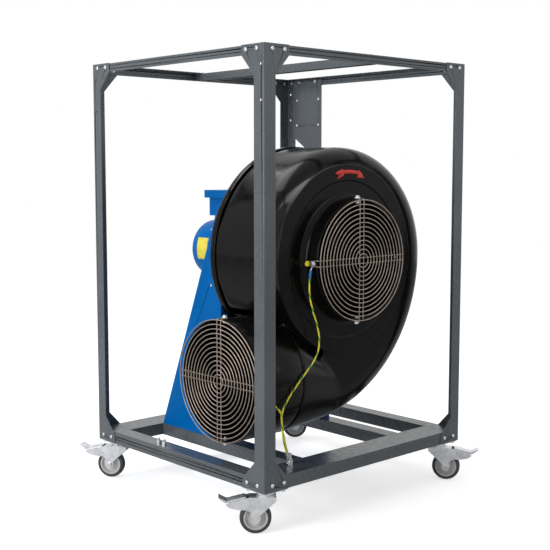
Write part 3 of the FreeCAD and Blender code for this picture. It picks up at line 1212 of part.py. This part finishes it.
lug_hole_r = COLLAR_BOLT_D / 2 + HOLE_CLEARANCE
stud_hole_r = STUD_D / 2 + HOLE_CLEARANCE
inlet_at, inlet_out = inlet_bolts[lug_bolt]
outlet_at, outlet_out = outlet_bolts[lug_bolt]
bond_lower = V(BOND_STUD[0], BOND_STUD[1], lug_seat)
bond_upper = bond_lower + V(0, 0, LUG_T)
export("earth_lugs", [
    lug(inlet_at + inlet_out * guard_seat, inlet_out, lug_hole_r, INLET_WIRE[0], INLET_WIRE[1]),
    lug(outlet_at + outlet_out * guard_seat, outlet_out, lug_hole_r, OUTLET_WIRE[0], OUTLET_WIRE[1]),
    lug(bond_lower, AXIS_Z, stud_hole_r, OUTLET_WIRE[-1], OUTLET_WIRE[-2], LUG_REACH + 3 * LUG_TONGUE_R),
    lug(bond_upper, AXIS_Z, stud_hole_r, INLET_WIRE[-1], INLET_WIRE[-2])])
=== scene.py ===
# %% [markdown]
# # A mobile extraction fan
# The object is a centrifugal fan that rolls on castors. A black moulded scroll casing turns the air round,
# a wire guard covers its inlet and its outlet, and a blue motor on a blue pedestal drives it from behind.
# A folded sheet-steel frame carries it all.
# The exact mechanical model is loaded first and never moved. This lesson dresses it: pieces that are simple
# machined or folded shapes keep their solids and get a finish, and pieces whose look comes from soft
# curves, wire or fine detail are modelled here in their place.

import json
import math

import bpy
import numpy as np
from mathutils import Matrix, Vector


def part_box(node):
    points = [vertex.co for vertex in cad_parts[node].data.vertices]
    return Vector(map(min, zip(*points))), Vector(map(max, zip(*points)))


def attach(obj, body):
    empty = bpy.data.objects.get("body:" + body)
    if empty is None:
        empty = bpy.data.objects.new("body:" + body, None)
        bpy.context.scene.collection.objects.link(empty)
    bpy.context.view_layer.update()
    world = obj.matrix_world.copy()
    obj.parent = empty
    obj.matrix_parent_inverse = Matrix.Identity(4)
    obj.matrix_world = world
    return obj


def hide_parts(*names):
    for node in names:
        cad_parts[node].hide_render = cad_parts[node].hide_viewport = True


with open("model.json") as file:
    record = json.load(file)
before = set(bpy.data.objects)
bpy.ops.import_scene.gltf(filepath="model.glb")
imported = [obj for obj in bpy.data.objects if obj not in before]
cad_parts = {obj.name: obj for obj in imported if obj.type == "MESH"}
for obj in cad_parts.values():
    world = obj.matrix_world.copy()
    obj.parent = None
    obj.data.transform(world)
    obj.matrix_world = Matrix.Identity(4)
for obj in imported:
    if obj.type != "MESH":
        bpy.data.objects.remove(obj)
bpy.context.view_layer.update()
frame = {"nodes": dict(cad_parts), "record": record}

# %% [markdown]
# ## Camera
# A product view is taken from a little above the middle of the object, far enough away that its uprights stay
# nearly parallel. Azimuth and elevation describe that better than coordinates do, so the camera's place is
# worked out from them.

# %% Camera
VIEW_AZIMUTH = math.radians(-42.621)
VIEW_ELEVATION = math.radians(5.824)
VIEW_DISTANCE = 3.12777
VIEW_TARGET = Vector((-0.01317, 0.0, 0.62851))
LENS = 67.84                   # mm, on a sensor SENSOR_WIDTH mm wide
SENSOR_WIDTH = 36.0

view_direction = Vector((math.cos(VIEW_ELEVATION) * math.sin(VIEW_AZIMUTH),
                         -math.cos(VIEW_ELEVATION) * math.cos(VIEW_AZIMUTH),
                         math.sin(VIEW_ELEVATION)))
camera_data = bpy.data.cameras.new("camera")
camera_data.lens = LENS
camera_data.sensor_width = SENSOR_WIDTH
camera = bpy.data.objects.new("camera", camera_data)
bpy.context.scene.collection.objects.link(camera)
camera.location = VIEW_TARGET + VIEW_DISTANCE * view_direction
camera.rotation_euler = view_direction.to_track_quat("Z", "Y").to_euler()
bpy.context.scene.camera = camera
print("camera at", [round(x, 3) for x in camera.location])

# %% [markdown]
# ## Finishes
# Every finish starts the same way: one Principled shader, with numbers that are the same all over set on its
# own sockets. What varies over the surface, such as a mottled colour or a fine grain, comes from noise
# in object coordinates, so its scale is in metres and stays put when the piece moves.

# %% A helper for finishes
def finish(name, color, roughness, metallic=0.0, specular=0.5):
    """A new material; returns it with its node tree and shader."""
    material = bpy.data.materials.new(name)
    material.use_nodes = True
    tree = material.node_tree
    shader = tree.nodes["Principled BSDF"]
    shader.inputs["Base Color"].default_value = (*color, 1.0)
    shader.inputs["Roughness"].default_value = roughness
    shader.inputs["Metallic"].default_value = metallic
    shader.inputs["Specular IOR Level"].default_value = specular
    return material, tree, shader


def noise(tree, scale, detail=3.0):
    """Noise in object coordinates; scale is in features per metre."""
    place = tree.nodes.new("ShaderNodeTexCoord")
    texture = tree.nodes.new("ShaderNodeTexNoise")
    texture.inputs["Scale"].default_value = scale
    texture.inputs["Detail"].default_value = detail
    tree.links.new(place.outputs["Object"], texture.inputs["Vector"])
    return texture.outputs["Fac"]


def ramp(tree, value, low, high, low_at=0.35, high_at=0.65):
    """Turn a value into a colour between two."""
    node = tree.nodes.new("ShaderNodeValToRGB")
    node.color_ramp.elements[0].position = low_at
    node.color_ramp.elements[0].color = (*low, 1.0)
    node.color_ramp.elements[1].position = high_at
    node.color_ramp.elements[1].color = (*high, 1.0)
    tree.links.new(value, node.inputs["Fac"])
    return node.outputs["Color"]


def spread(tree, value, low, high, socket):
    """Feed a socket with value, mapped to run from low to high."""
    node = tree.nodes.new("ShaderNodeMapRange")
    node.inputs["From Min"].default_value = 0.3
    node.inputs["From Max"].default_value = 0.7
    node.inputs["To Min"].default_value = low
    node.inputs["To Max"].default_value = high
    tree.links.new(value, node.inputs["Value"])
    tree.links.new(node.outputs["Result"], socket)


def bump(tree, shader, height, strength, distance):
    """Raise the surface by height; distance is the full relief in metres."""
    node = tree.nodes.new("ShaderNodeBump")
    node.inputs["Strength"].default_value = strength
    node.inputs["Distance"].default_value = distance
    tree.links.new(height, node.inputs["Height"])
    tree.links.new(node.outputs["Normal"], shader.inputs["Normal"])


# %% [markdown]
# The frame is powder coated. Powder melts into a film with a fine orange-peel grain, which breaks up its
# reflections, so a small bump and a roughness that wanders a little say more than its colour does.

# %% Powder coat
def powder_coat():
    material, tree, shader = finish("powder_coat", (0.082, 0.096, 0.108), 0.45)
    patches = noise(tree, 9.0)
    tree.links.new(ramp(tree, patches, (0.076, 0.089, 0.100), (0.090, 0.105, 0.118)),
                   shader.inputs["Base Color"])
    spread(tree, noise(tree, 60.0), 0.22, 0.34, shader.inputs["Roughness"])
    bump(tree, shader, noise(tree, 1400.0, 1.0), 0.12, 0.0003)
    return material


FRAME_PAINT = powder_coat()

# %% [markdown]
# Motor and pedestal wear a brushed and sprayed enamel. It is glossier than powder coat, with a soft, wide
# ripple where the film has flowed.

# %% Blue enamel
def enamel(name, light, dark, roughness):
    material, tree, shader = finish(name, light, roughness, specular=0.05)
    tree.links.new(ramp(tree, noise(tree, 7.0), dark, light), shader.inputs["Base Color"])
    spread(tree, noise(tree, 40.0), roughness - 0.05, roughness + 0.06, shader.inputs["Roughness"])
    bump(tree, shader, noise(tree, 420.0, 2.0), 0.10, 0.0004)
    return material


BLUE = enamel("blue_enamel", (0.000, 0.140, 0.465), (0.000, 0.122, 0.410), 0.30)

# %% [markdown]
# The casing is a black plastic moulding with a gloss gel surface. At a glance it is a black mirror, so its
# shape is told only by the lights that it reflects. A very shallow, wide unevenness bends those
# reflections as a hand-laid moulding does, and faint dust dulls it in places.

# %% Black moulding
def black_moulding():
    material, tree, shader = finish("black_moulding", (0.0035, 0.0035, 0.0037), 0.14, specular=0.12)
    dust = noise(tree, 16.0, 6.0)
    tree.links.new(ramp(tree, dust, (0.0030, 0.0029, 0.0028), (0.0062, 0.0056, 0.0050), 0.45, 0.8),
                   shader.inputs["Base Color"])
    spread(tree, noise(tree, 30.0, 5.0), 0.13, 0.24, shader.inputs["Roughness"])
    bump(tree, shader, noise(tree, 11.0, 1.5), 0.15, 0.003)
    return material


BLACK = black_moulding()

# %% [markdown]
# Zinc plate is a thin bright metal with a faint bluish, cloudy passivation. Bare steel wire is duller and
# browner. Both are metals, so the colour sits in the reflection.

# %% Metals
def metal(name, light, dark, roughness, cloud=45.0):
    material, tree, shader = finish(name, light, roughness, metallic=1.0)
    tree.links.new(ramp(tree, noise(tree, cloud, 4.0), dark, light), shader.inputs["Base Color"])
    spread(tree, noise(tree, cloud * 3.0), roughness - 0.06, roughness + 0.10, shader.inputs["Roughness"])
    return material


ZINC = metal("zinc_plate", (0.74, 0.75, 0.77), (0.58, 0.60, 0.63), 0.30)
WIRE = metal("steel_wire", (0.40, 0.335, 0.285), (0.29, 0.24, 0.20), 0.42, 70.0)
STEEL = metal("machined_steel", (0.56, 0.56, 0.57), (0.44, 0.44, 0.45), 0.32)
TIN = metal("tinned_copper", (0.80, 0.79, 0.76), (0.66, 0.65, 0.62), 0.28)
IRON = metal("laminated_iron", (0.24, 0.16, 0.11), (0.16, 0.11, 0.08), 0.55)

# %% [markdown]
# Plastics and rubber differ mainly in how sharply they reflect. A moulded wheel is satin, a tread is nearly
# matt with a dusty bloom, and cable insulation is soft and waxy.

# %% Plastics and rubber
def plastic(name, light, dark, roughness, grain=900.0, relief=0.0002):
    material, tree, shader = finish(name, light, roughness)
    tree.links.new(ramp(tree, noise(tree, 30.0, 4.0), dark, light), shader.inputs["Base Color"])
    spread(tree, noise(tree, 120.0), roughness - 0.06, roughness + 0.06, shader.inputs["Roughness"])
    bump(tree, shader, noise(tree, grain, 2.0), 0.15, relief)
    return material


WHEEL_GREY = plastic("wheel_grey", (0.64, 0.64, 0.63), (0.52, 0.52, 0.51), 0.42)
RUBBER = plastic("tread_rubber", (0.060, 0.062, 0.066), (0.036, 0.037, 0.040), 0.62, 500.0, 0.0004)
DARK_PLASTIC = plastic("dark_plastic", (0.022, 0.022, 0.023), (0.014, 0.014, 0.015), 0.5)
IMPELLER_BLACK = plastic("impeller_black", (0.016, 0.016, 0.017), (0.010, 0.010, 0.011), 0.45)
SLEEVE_BLUE = plastic("sleeve_blue", (0.005, 0.16, 0.48), (0.004, 0.13, 0.40), 0.4)
CAP_YELLOW = plastic("cap_yellow", (0.80, 0.70, 0.02), (0.70, 0.60, 0.02), 0.35)
LABEL_YELLOW = plastic("label_yellow", (0.86, 0.74, 0.06), (0.78, 0.66, 0.05), 0.30)
ARROW_RED = plastic("arrow_red", (0.80, 0.045, 0.025), (0.74, 0.04, 0.022), 0.35)

# %% [markdown]
# ## Give the solids their finish
# The record says which finish slot each node belongs to, so one table from slot to finish dresses all the
# solids at once. A piece that is modelled here later is given its finish directly.

# %% Materials for the CAD nodes
SLOT_FINISH = {
    "frame_paint": FRAME_PAINT, "zinc": ZINC, "casing_black": BLACK, "guard_wire": WIRE,
    "impeller_metal": IMPELLER_BLACK, "shaft_steel": STEEL, "fan_plastic": DARK_PLASTIC, "motor_blue": BLUE,
    "stator_core": IRON, "gland_plastic": DARK_PLASTIC, "earth_wire": CAP_YELLOW, "lug_metal": TIN,
    "wheel_core": WHEEL_GREY, "tyre_rubber": RUBBER, "pedal_metal": ZINC,
}
slot_of = {row["node"]: row["material_slot"] for row in frame["record"]["subparts"]}
for name, node in frame["nodes"].items():
    node.data.materials.clear()
    node.data.materials.append(SLOT_FINISH[slot_of[name]])
print("finishes in use:", sorted(set(slot_of.values())))

# %% [markdown]
# ## Earth wires
# Two green and yellow wires bond the metal guards to the frame. Each hangs in a slack curve from a ring
# terminal. A wire is one smooth spline with a round section, and a NURBS curve of low order follows its
# control points closely without kinks.

# %% Earth wire routes
WIRE_DIAMETER = 0.0046
INLET_WIRE = (
    (-0.1810, -0.3220, 0.664), (-0.1860, -0.3225, 0.634), (-0.1800, -0.3200, 0.600), (-0.1660, -0.3175, 0.564),
    (-0.1470, -0.3150, 0.525), (-0.1360, -0.3140, 0.485), (-0.1430, -0.3150, 0.447), (-0.1720, -0.3200, 0.419),
    (-0.2060, -0.3250, 0.396), (-0.2360, -0.3265, 0.370), (-0.2640, -0.3255, 0.342), (-0.2860, -0.3220, 0.306),
    (-0.2810, -0.3185, 0.268), (-0.2700, -0.3160, 0.229), (-0.2580, -0.3135, 0.196))
OUTLET_WIRE = (
    (-0.3380, -0.3360, 0.351), (-0.3260, -0.3360, 0.332), (-0.3030, -0.3330, 0.317), (-0.2920, -0.3295, 0.296),
    (-0.2880, -0.3255, 0.262), (-0.2780, -0.3210, 0.228), (-0.2670, -0.3195, 0.196))


# %% Curves along points
def spline_curve(name, diameter):
    """An empty curve object whose splines get a round section."""
    data = bpy.data.curves.new(name, "CURVE")
    data.dimensions = "3D"
    data.bevel_depth = diameter / 2
    data.bevel_resolution = 5
    data.use_fill_caps = True
    data.resolution_u = 12
    shape = bpy.data.objects.new(name, data)
    bpy.context.scene.collection.objects.link(shape)
    return shape


def cord_spline(shape, points):
    spline = shape.data.splines.new("NURBS")
    spline.points.add(len(points) - 1)
    for control, point in zip(spline.points, points):
        control.co = (*point, 1.0)
    spline.order_u = 3
    spline.use_endpoint_u = True


# %% [markdown]
# The insulation is yellow with a green stripe that winds slowly round the wire. A curve's own texture
# coordinates run along it and around it, so a stripe is a wave across the round direction, shifted
# by the distance along.

# %% Striped insulation
INSULATION_YELLOW = (0.80, 0.74, 0.03)
INSULATION_GREEN = (0.05, 0.22, 0.02)


def striped_insulation(turns):
    """Yellow with green stripes that wind this many times round a wire."""
    material, tree, shader = finish("striped_insulation_%d" % turns, INSULATION_YELLOW, 0.38)
    place = tree.nodes.new("ShaderNodeTexCoord")
    split = tree.nodes.new("ShaderNodeSeparateXYZ")
    tree.links.new(place.outputs["UV"], split.inputs["Vector"])
    along = tree.nodes.new("ShaderNodeMath")
    along.operation = "MULTIPLY_ADD"
    along.inputs[1].default_value = turns
    tree.links.new(split.outputs["X"], along.inputs[0])
    tree.links.new(split.outputs["Y"], along.inputs[2])
    angle = tree.nodes.new("ShaderNodeMath")
    angle.operation = "MULTIPLY"
    angle.inputs[1].default_value = 2 * math.pi
    tree.links.new(along.outputs["Value"], angle.inputs[0])
    wave = tree.nodes.new("ShaderNodeMath")
    wave.operation = "SINE"
    tree.links.new(angle.outputs["Value"], wave.inputs[0])
    color = ramp(tree, wave.outputs["Value"], INSULATION_YELLOW, INSULATION_GREEN, 0.55, 0.60)
    tree.links.new(color, shader.inputs["Base Color"])
    return material


# %% Make the wires
for name, node, points, turns in (("inlet_earth_wire", "earth_cable_inlet", INLET_WIRE, 12),
                                  ("outlet_earth_wire", "earth_cable_outlet", OUTLET_WIRE, 4)):
    wire = spline_curve(name, WIRE_DIAMETER)
    cord_spline(wire, points)
    wire.data.materials.append(striped_insulation(turns))
    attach(wire, "root")
    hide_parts(node)

# %% [markdown]
# ## The moulded casing
# The scroll comes out of one mould, so its parts flow into each other: the round boss behind the inlet, the
# wide rounded shoulder and the neck of the outlet have soft hollows between them. Solid modelling leaves hard
# creases there. The way to soften them is to rebuild the skin as an even grid of small faces, and then to let
# each point drift towards the middle of its neighbours. The rims stay where they are, because the back
# plate and the spigot fit against them.

# %% The casing's skin
def mesh_points(mesh):
    points = np.empty(len(mesh.vertices) * 3)
    mesh.vertices.foreach_get("co", points)
    return points.reshape(-1, 3)


def link_piece(name, mesh, material, body="root"):
    """Show a mesh as a piece of the object, smooth shaded, with its finish and body."""
    piece = bpy.data.objects.new(name, mesh)
    bpy.context.scene.collection.objects.link(piece)
    mesh.materials.clear()
    mesh.materials.append(material)
    mesh.polygons.foreach_set("use_smooth", [True] * len(mesh.polygons))
    mesh.update()
    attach(piece, body)
    return piece


def evaluated_mesh(source, name):
    graph = bpy.context.evaluated_depsgraph_get()
    return bpy.data.meshes.new_from_object(source.evaluated_get(graph), depsgraph=graph)


SKIN_GRID = 0.003
RELAX_STEPS = 46
RELAX_SHARE = 0.6              # how far a point goes towards its neighbours' middle in one step
HELD_BAND = 0.004              # nothing moves this near the rear rim or the outlet's end
BLEND_BAND = 0.030             # over this width past it, the movement comes up to full
scratch = bpy.data.objects.new("casing_scratch", frame["nodes"]["scroll_casing"].data.copy())
bpy.context.scene.collection.objects.link(scratch)
remesh = scratch.modifiers.new("even_grid", "REMESH")
remesh.mode = "VOXEL"
remesh.voxel_size = SKIN_GRID
bpy.context.view_layer.update()
skin = evaluated_mesh(scratch, "casing_skin")
bpy.data.objects.remove(scratch)
print("skin grid:", len(skin.vertices), "points")

# %% [markdown]
# The drift is a plain average over the edges that meet at each point. A weight between 0 and 1 holds it back
# near the rear rim and near the outlet's end.

# %% Relax the skin
low, high = [np.array(corner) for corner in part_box("scroll_casing")]
points = mesh_points(skin)
edges = np.empty(len(skin.edges) * 2, dtype=int)
skin.edges.foreach_get("vertices", edges)
first, second = edges.reshape(-1, 2).T
meeting = np.bincount(edges, minlength=len(points))[:, None]
from_rim = (high[1] - HELD_BAND - points[:, 1]) / BLEND_BAND
from_outlet = (points[:, 0] - low[0] - HELD_BAND) / BLEND_BAND
free = np.clip(from_rim, 0, 1) * np.clip(from_outlet, 0, 1)
free = (free * free * (3 - 2 * free))[:, None]
for step in range(RELAX_STEPS):
    total = np.zeros_like(points)
    np.add.at(total, first, points[second])
    np.add.at(total, second, points[first])
    points += RELAX_SHARE * free * (total / meeting - points)
skin.vertices.foreach_set("co", points.ravel())
casing = link_piece("casing_moulding", skin, BLACK)
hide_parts("scroll_casing")
print("casing skin:", len(skin.polygons), "faces")

# %% [markdown]
# ## Stickers
# A bent red arrow above the inlet shows which way the fan turns, and a blank yellow label sits on the motor's
# cowl. Each is a thin film that follows what it is stuck to. Both lie round the fan's axis, so polar
# coordinates give their points, and a solidify modifier gives them the thickness of vinyl.

# %% Rotation arrow
AXIS_HEIGHT = 0.694
FILM = 0.0004


def film(name, rows, faces, material):
    """A thin sheet from points and faces, thickened by a solidify modifier."""
    mesh = bpy.data.meshes.new(name)
    mesh.from_pydata(rows, [], faces)
    piece = link_piece(name, mesh, material)
    thick = piece.modifiers.new("film", "SOLIDIFY")
    thick.thickness = FILM
    thick.offset = 0
    return piece


ARROW_FACE = -0.2875           # the flat of the casing round the inlet
ARROW_R = 0.2455               # middle of the arrow's shaft, from the fan's axis
ARROW_HALF = 0.0052            # half of the shaft's width
ARROW_START = 94.0             # headings of the shaft's ends, from +X toward +Z
ARROW_END = 80.5
ARROW_STEPS = 14
INNER, OUTER = ARROW_R - ARROW_HALF, ARROW_R + ARROW_HALF
ARROW_HEAD = ((0.231, 80.6), (INNER, ARROW_END), (OUTER, ARROW_END), (0.2545, 79.6), (0.2370, 73.6))
TAIL_NOTCH = (0.2375, 98.6)
ARROW_TAIL_OUTER = ((OUTER, ARROW_START), (0.2540, 95.3), (0.2470, 101.9), TAIL_NOTCH, (INNER, ARROW_START))
ARROW_TAIL_INNER = (TAIL_NOTCH, (0.2285, 101.4), (0.2350, 94.4), (INNER, ARROW_START))


def on_plate(radius, degrees):
    turn = math.radians(degrees)
    return (radius * math.cos(turn), ARROW_FACE, AXIS_HEIGHT + radius * math.sin(turn))


arrow_rows = []
for i in range(ARROW_STEPS + 1):
    turn = ARROW_START + (ARROW_END - ARROW_START) * i / ARROW_STEPS
    arrow_rows += [on_plate(INNER, turn), on_plate(OUTER, turn)]
arrow_faces = [(2 * i, 2 * i + 1, 2 * i + 3, 2 * i + 2) for i in range(ARROW_STEPS)]
for outline in (ARROW_HEAD, ARROW_TAIL_OUTER, ARROW_TAIL_INNER):
    begin = len(arrow_rows)
    arrow_rows += [on_plate(radius, degrees) for radius, degrees in outline]
    arrow_faces.append(tuple(range(begin, begin + len(outline))))
film("rotation_arrow", arrow_rows, arrow_faces, ARROW_RED)
print("arrow:", len(arrow_faces), "faces")

# %% Blank label on the cowl
cowl_low, cowl_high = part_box("motor_fan_cowl")
cowl_r = (cowl_high[0] - cowl_low[0]) / 2
LABEL_LOW = 155.0              # heading of the label's lower edge
LABEL_SPAN = 44.0              # degrees round the cowl
LABEL_WIDTH = 0.052
LABEL_INSET = 0.004            # from the cowl's front edge
LABEL_LIFT = 0.0003            # clear of the cowl's facets
LABEL_SKEW = 0.002             # how far the label's upper edge is off square
LABEL_ROWS, LABEL_COLUMNS = 12, 4
label_rows = []
for i in range(LABEL_ROWS + 1):
    turn = math.radians(LABEL_LOW + LABEL_SPAN * i / LABEL_ROWS)
    for j in range(LABEL_COLUMNS + 1):
        y = cowl_low[1] + LABEL_INSET + LABEL_WIDTH * j / LABEL_COLUMNS - LABEL_SKEW * i / LABEL_ROWS
        radius = cowl_r + LABEL_LIFT
        label_rows.append((radius * math.cos(turn), y, AXIS_HEIGHT + radius * math.sin(turn)))
row = LABEL_COLUMNS + 1
label_faces = [(row * i + j, row * i + j + 1, row * i + j + row + 1, row * i + j + row)
               for i in range(LABEL_ROWS) for j in range(LABEL_COLUMNS)]
film("blank_label", label_rows, label_faces, LABEL_YELLOW)
print("label:", len(label_faces), "faces")

# %% [markdown]
# ## Small turned details
# A yellow plug closes a test port in the inlet's collar, and blue shrink sleeves cover the crimps where the
# earth wires enter their terminals. All are turned shapes: a profile swept round an axis, which is what the
# helper makes.

# %% Turned pieces
def turned_piece(name, profile, start, along, material, around=24):
    """Sweep a profile of (radius, distance along) round an axis from start."""
    along = Vector(along).normalized()
    frame_turn = along.to_track_quat("Z", "Y").to_matrix()
    rows = []
    for radius, distance in profile:
        for k in range(around):
            turn = 2 * math.pi * k / around
            offset = frame_turn @ Vector((radius * math.cos(turn), radius * math.sin(turn), distance))
            rows.append(tuple(Vector(start) + offset))
    faces = []
    for i in range(len(profile) - 1):
        for k in range(around):
            after = (k + 1) % around
            faces.append((i * around + k, i * around + after, (i + 1) * around + after, (i + 1) * around + k))
    faces.append(tuple(range(around - 1, -1, -1)))
    faces.append(tuple(range((len(profile) - 1) * around, len(profile) * around)))
    mesh = bpy.data.meshes.new(name)
    mesh.from_pydata(rows, [], faces)
    return link_piece(name, mesh, material)


PLUG_PROFILE = ((0.0078, 0.0), (0.0080, 0.004), (0.0076, 0.0075), (0.0064, 0.0092), (0.0036, 0.0099),
                (0.0034, 0.0078), (0.0008, 0.0078))
PLUG_SEAT = (-0.1685, -0.3035, AXIS_HEIGHT - 0.001)
turned_piece("port_plug", PLUG_PROFILE, PLUG_SEAT, (-1, 0, 0), CAP_YELLOW)
print("plug sticks out", PLUG_PROFILE[4][1], "m")

# %% [markdown]
# Each sleeve lies along the first stretch of its wire and reaches back over the terminal's crimp. The wire's
# real length is printed beside it.

# %% Shrink sleeves on the lugs
SLEEVE_REACH = 0.009           # how far a sleeve starts before the wire's end
SLEEVE_PROFILE = ((0.0030, 0.0), (0.0036, 0.001), (0.0037, 0.012), (0.0037, 0.020), (0.0032, 0.0225))
for name, route, length in (("inlet_earth_wire", INLET_WIRE, 0.541), ("outlet_earth_wire", OUTLET_WIRE, 0.177)):
    end = Vector(route[0])
    toward = (end - Vector(route[1])).normalized()
    sleeve = turned_piece(name.replace("earth_wire", "lug_sleeve"), SLEEVE_PROFILE,
                          end - toward * SLEEVE_REACH, toward, SLEEVE_BLUE)
    print(name, "is", length, "m long")

# %% [markdown]
# ## Broken edges
# Folded sheet, castings and mouldings have slightly rounded edges that catch the light. A narrow bevel modifier
# gives the solids that same thin bright line, without a change to their mesh. The weld before it joins the
# faces that the solids' export leaves apart.

# %% Bevel the plain solids
BEVELS = {"frame_paint": 0.0012, "motor_blue": 0.0012, "casing_black": 0.0010}
WELD_REACH = 0.00002
SHARP_ANGLE = 35
bevelled = []
for name, node in frame["nodes"].items():
    if slot_of[name] in BEVELS and name not in ("scroll_casing", "inlet_nozzle"):
        weld = node.modifiers.new("weld", "WELD")
        weld.merge_threshold = WELD_REACH
        bevel = node.modifiers.new("broken_edge", "BEVEL")
        bevel.width = BEVELS[slot_of[name]]
        bevel.segments = 2
        bevel.limit_method = "ANGLE"
        bevel.angle_limit = math.radians(SHARP_ANGLE)
        bevel.harden_normals = True
        bevelled.append(name)
print("bevelled:", len(bevelled), "nodes")

# %% [markdown]
# ## Studio
# Product light comes from large soft boxes: they give broad shapes to the gloss and no hard shadows. The
# main box stands to the left, so faces that look left are clearly brighter than those that look right. One
# above and behind draws the casing's shoulder, and a weak one fills the front.

# %% Soft boxes
def soft_box(name, place, aim, width, height, power):
    data = bpy.data.lights.new(name, "AREA")
    data.shape = "RECTANGLE"
    data.size = width
    data.size_y = height
    data.energy = power
    lamp = bpy.data.objects.new(name, data)
    bpy.context.scene.collection.objects.link(lamp)
    lamp.location = place
    lamp.rotation_euler = (Vector(place) - Vector(aim)).to_track_quat("Z", "Y").to_euler()
    return lamp


soft_box("key_left", (-5.6, 0.1, 2.3), (0, 0, 0.7), 2.4, 3.2, 165)
soft_box("top_rear", (-0.6, 1.4, 3.4), (0, 0, 0.9), 2.4, 1.2, 42)
soft_box("front_fill", (1.8, -4.0, 2.2), (0, 0, 0.6), 1.6, 1.6, 11)

# %% [markdown]
# The surround is white at full strength for the camera, for polished surfaces and through glass, and dimmer
# as a light, so that it doesn't wash the colours out. The floor glows a little, for the camera alone, so
# that it stays pale and still takes the fan's shadow.

# %% Surround and floor
SURROUND_LIGHT = 0.38
FLOOR_GLOW = 0.62
FLOOR_DROP = 0.0005            # keeps the floor clear of the tyres
world = bpy.data.worlds.new("studio")
bpy.context.scene.world = world
world.use_nodes = True
sky = world.node_tree
background = sky.nodes["Background"]
ray = sky.nodes.new("ShaderNodeLightPath")
level = sky.nodes.new("ShaderNodeMapRange")
level.inputs["To Min"].default_value = SURROUND_LIGHT
level.inputs["To Max"].default_value = 1.0
shown = ray.outputs["Is Camera Ray"]
for kind in ("Is Glossy Ray", "Is Transmission Ray"):
    either = sky.nodes.new("ShaderNodeMath")
    either.operation = "MAXIMUM"
    sky.links.new(shown, either.inputs[0])
    sky.links.new(ray.outputs[kind], either.inputs[1])
    shown = either.outputs["Value"]
sky.links.new(shown, level.inputs["Value"])
sky.links.new(level.outputs["Result"], background.inputs["Strength"])
background.inputs["Color"].default_value = (1.0, 1.0, 1.0, 1.0)

bpy.ops.mesh.primitive_plane_add(size=14.0, location=(0, 0, -FLOOR_DROP))
floor = bpy.context.object
floor.name = "floor"
floor_finish, floor_tree, floor_shader = finish("studio_floor", (0.93, 0.93, 0.93), 0.9, specular=0.1)
floor_ray = floor_tree.nodes.new("ShaderNodeLightPath")
floor_level = floor_tree.nodes.new("ShaderNodeMath")
floor_level.operation = "MULTIPLY"
floor_level.inputs[1].default_value = FLOOR_GLOW
floor_tree.links.new(floor_ray.outputs["Is Camera Ray"], floor_level.inputs[0])
floor_tree.links.new(floor_level.outputs["Value"], floor_shader.inputs["Emission Strength"])
floor_shader.inputs["Emission Color"].default_value = (1.0, 1.0, 1.0, 1.0)
floor.data.materials.append(floor_finish)
print("floor:", floor.name)

bpy.context.scene.view_settings.view_transform = "Standard"
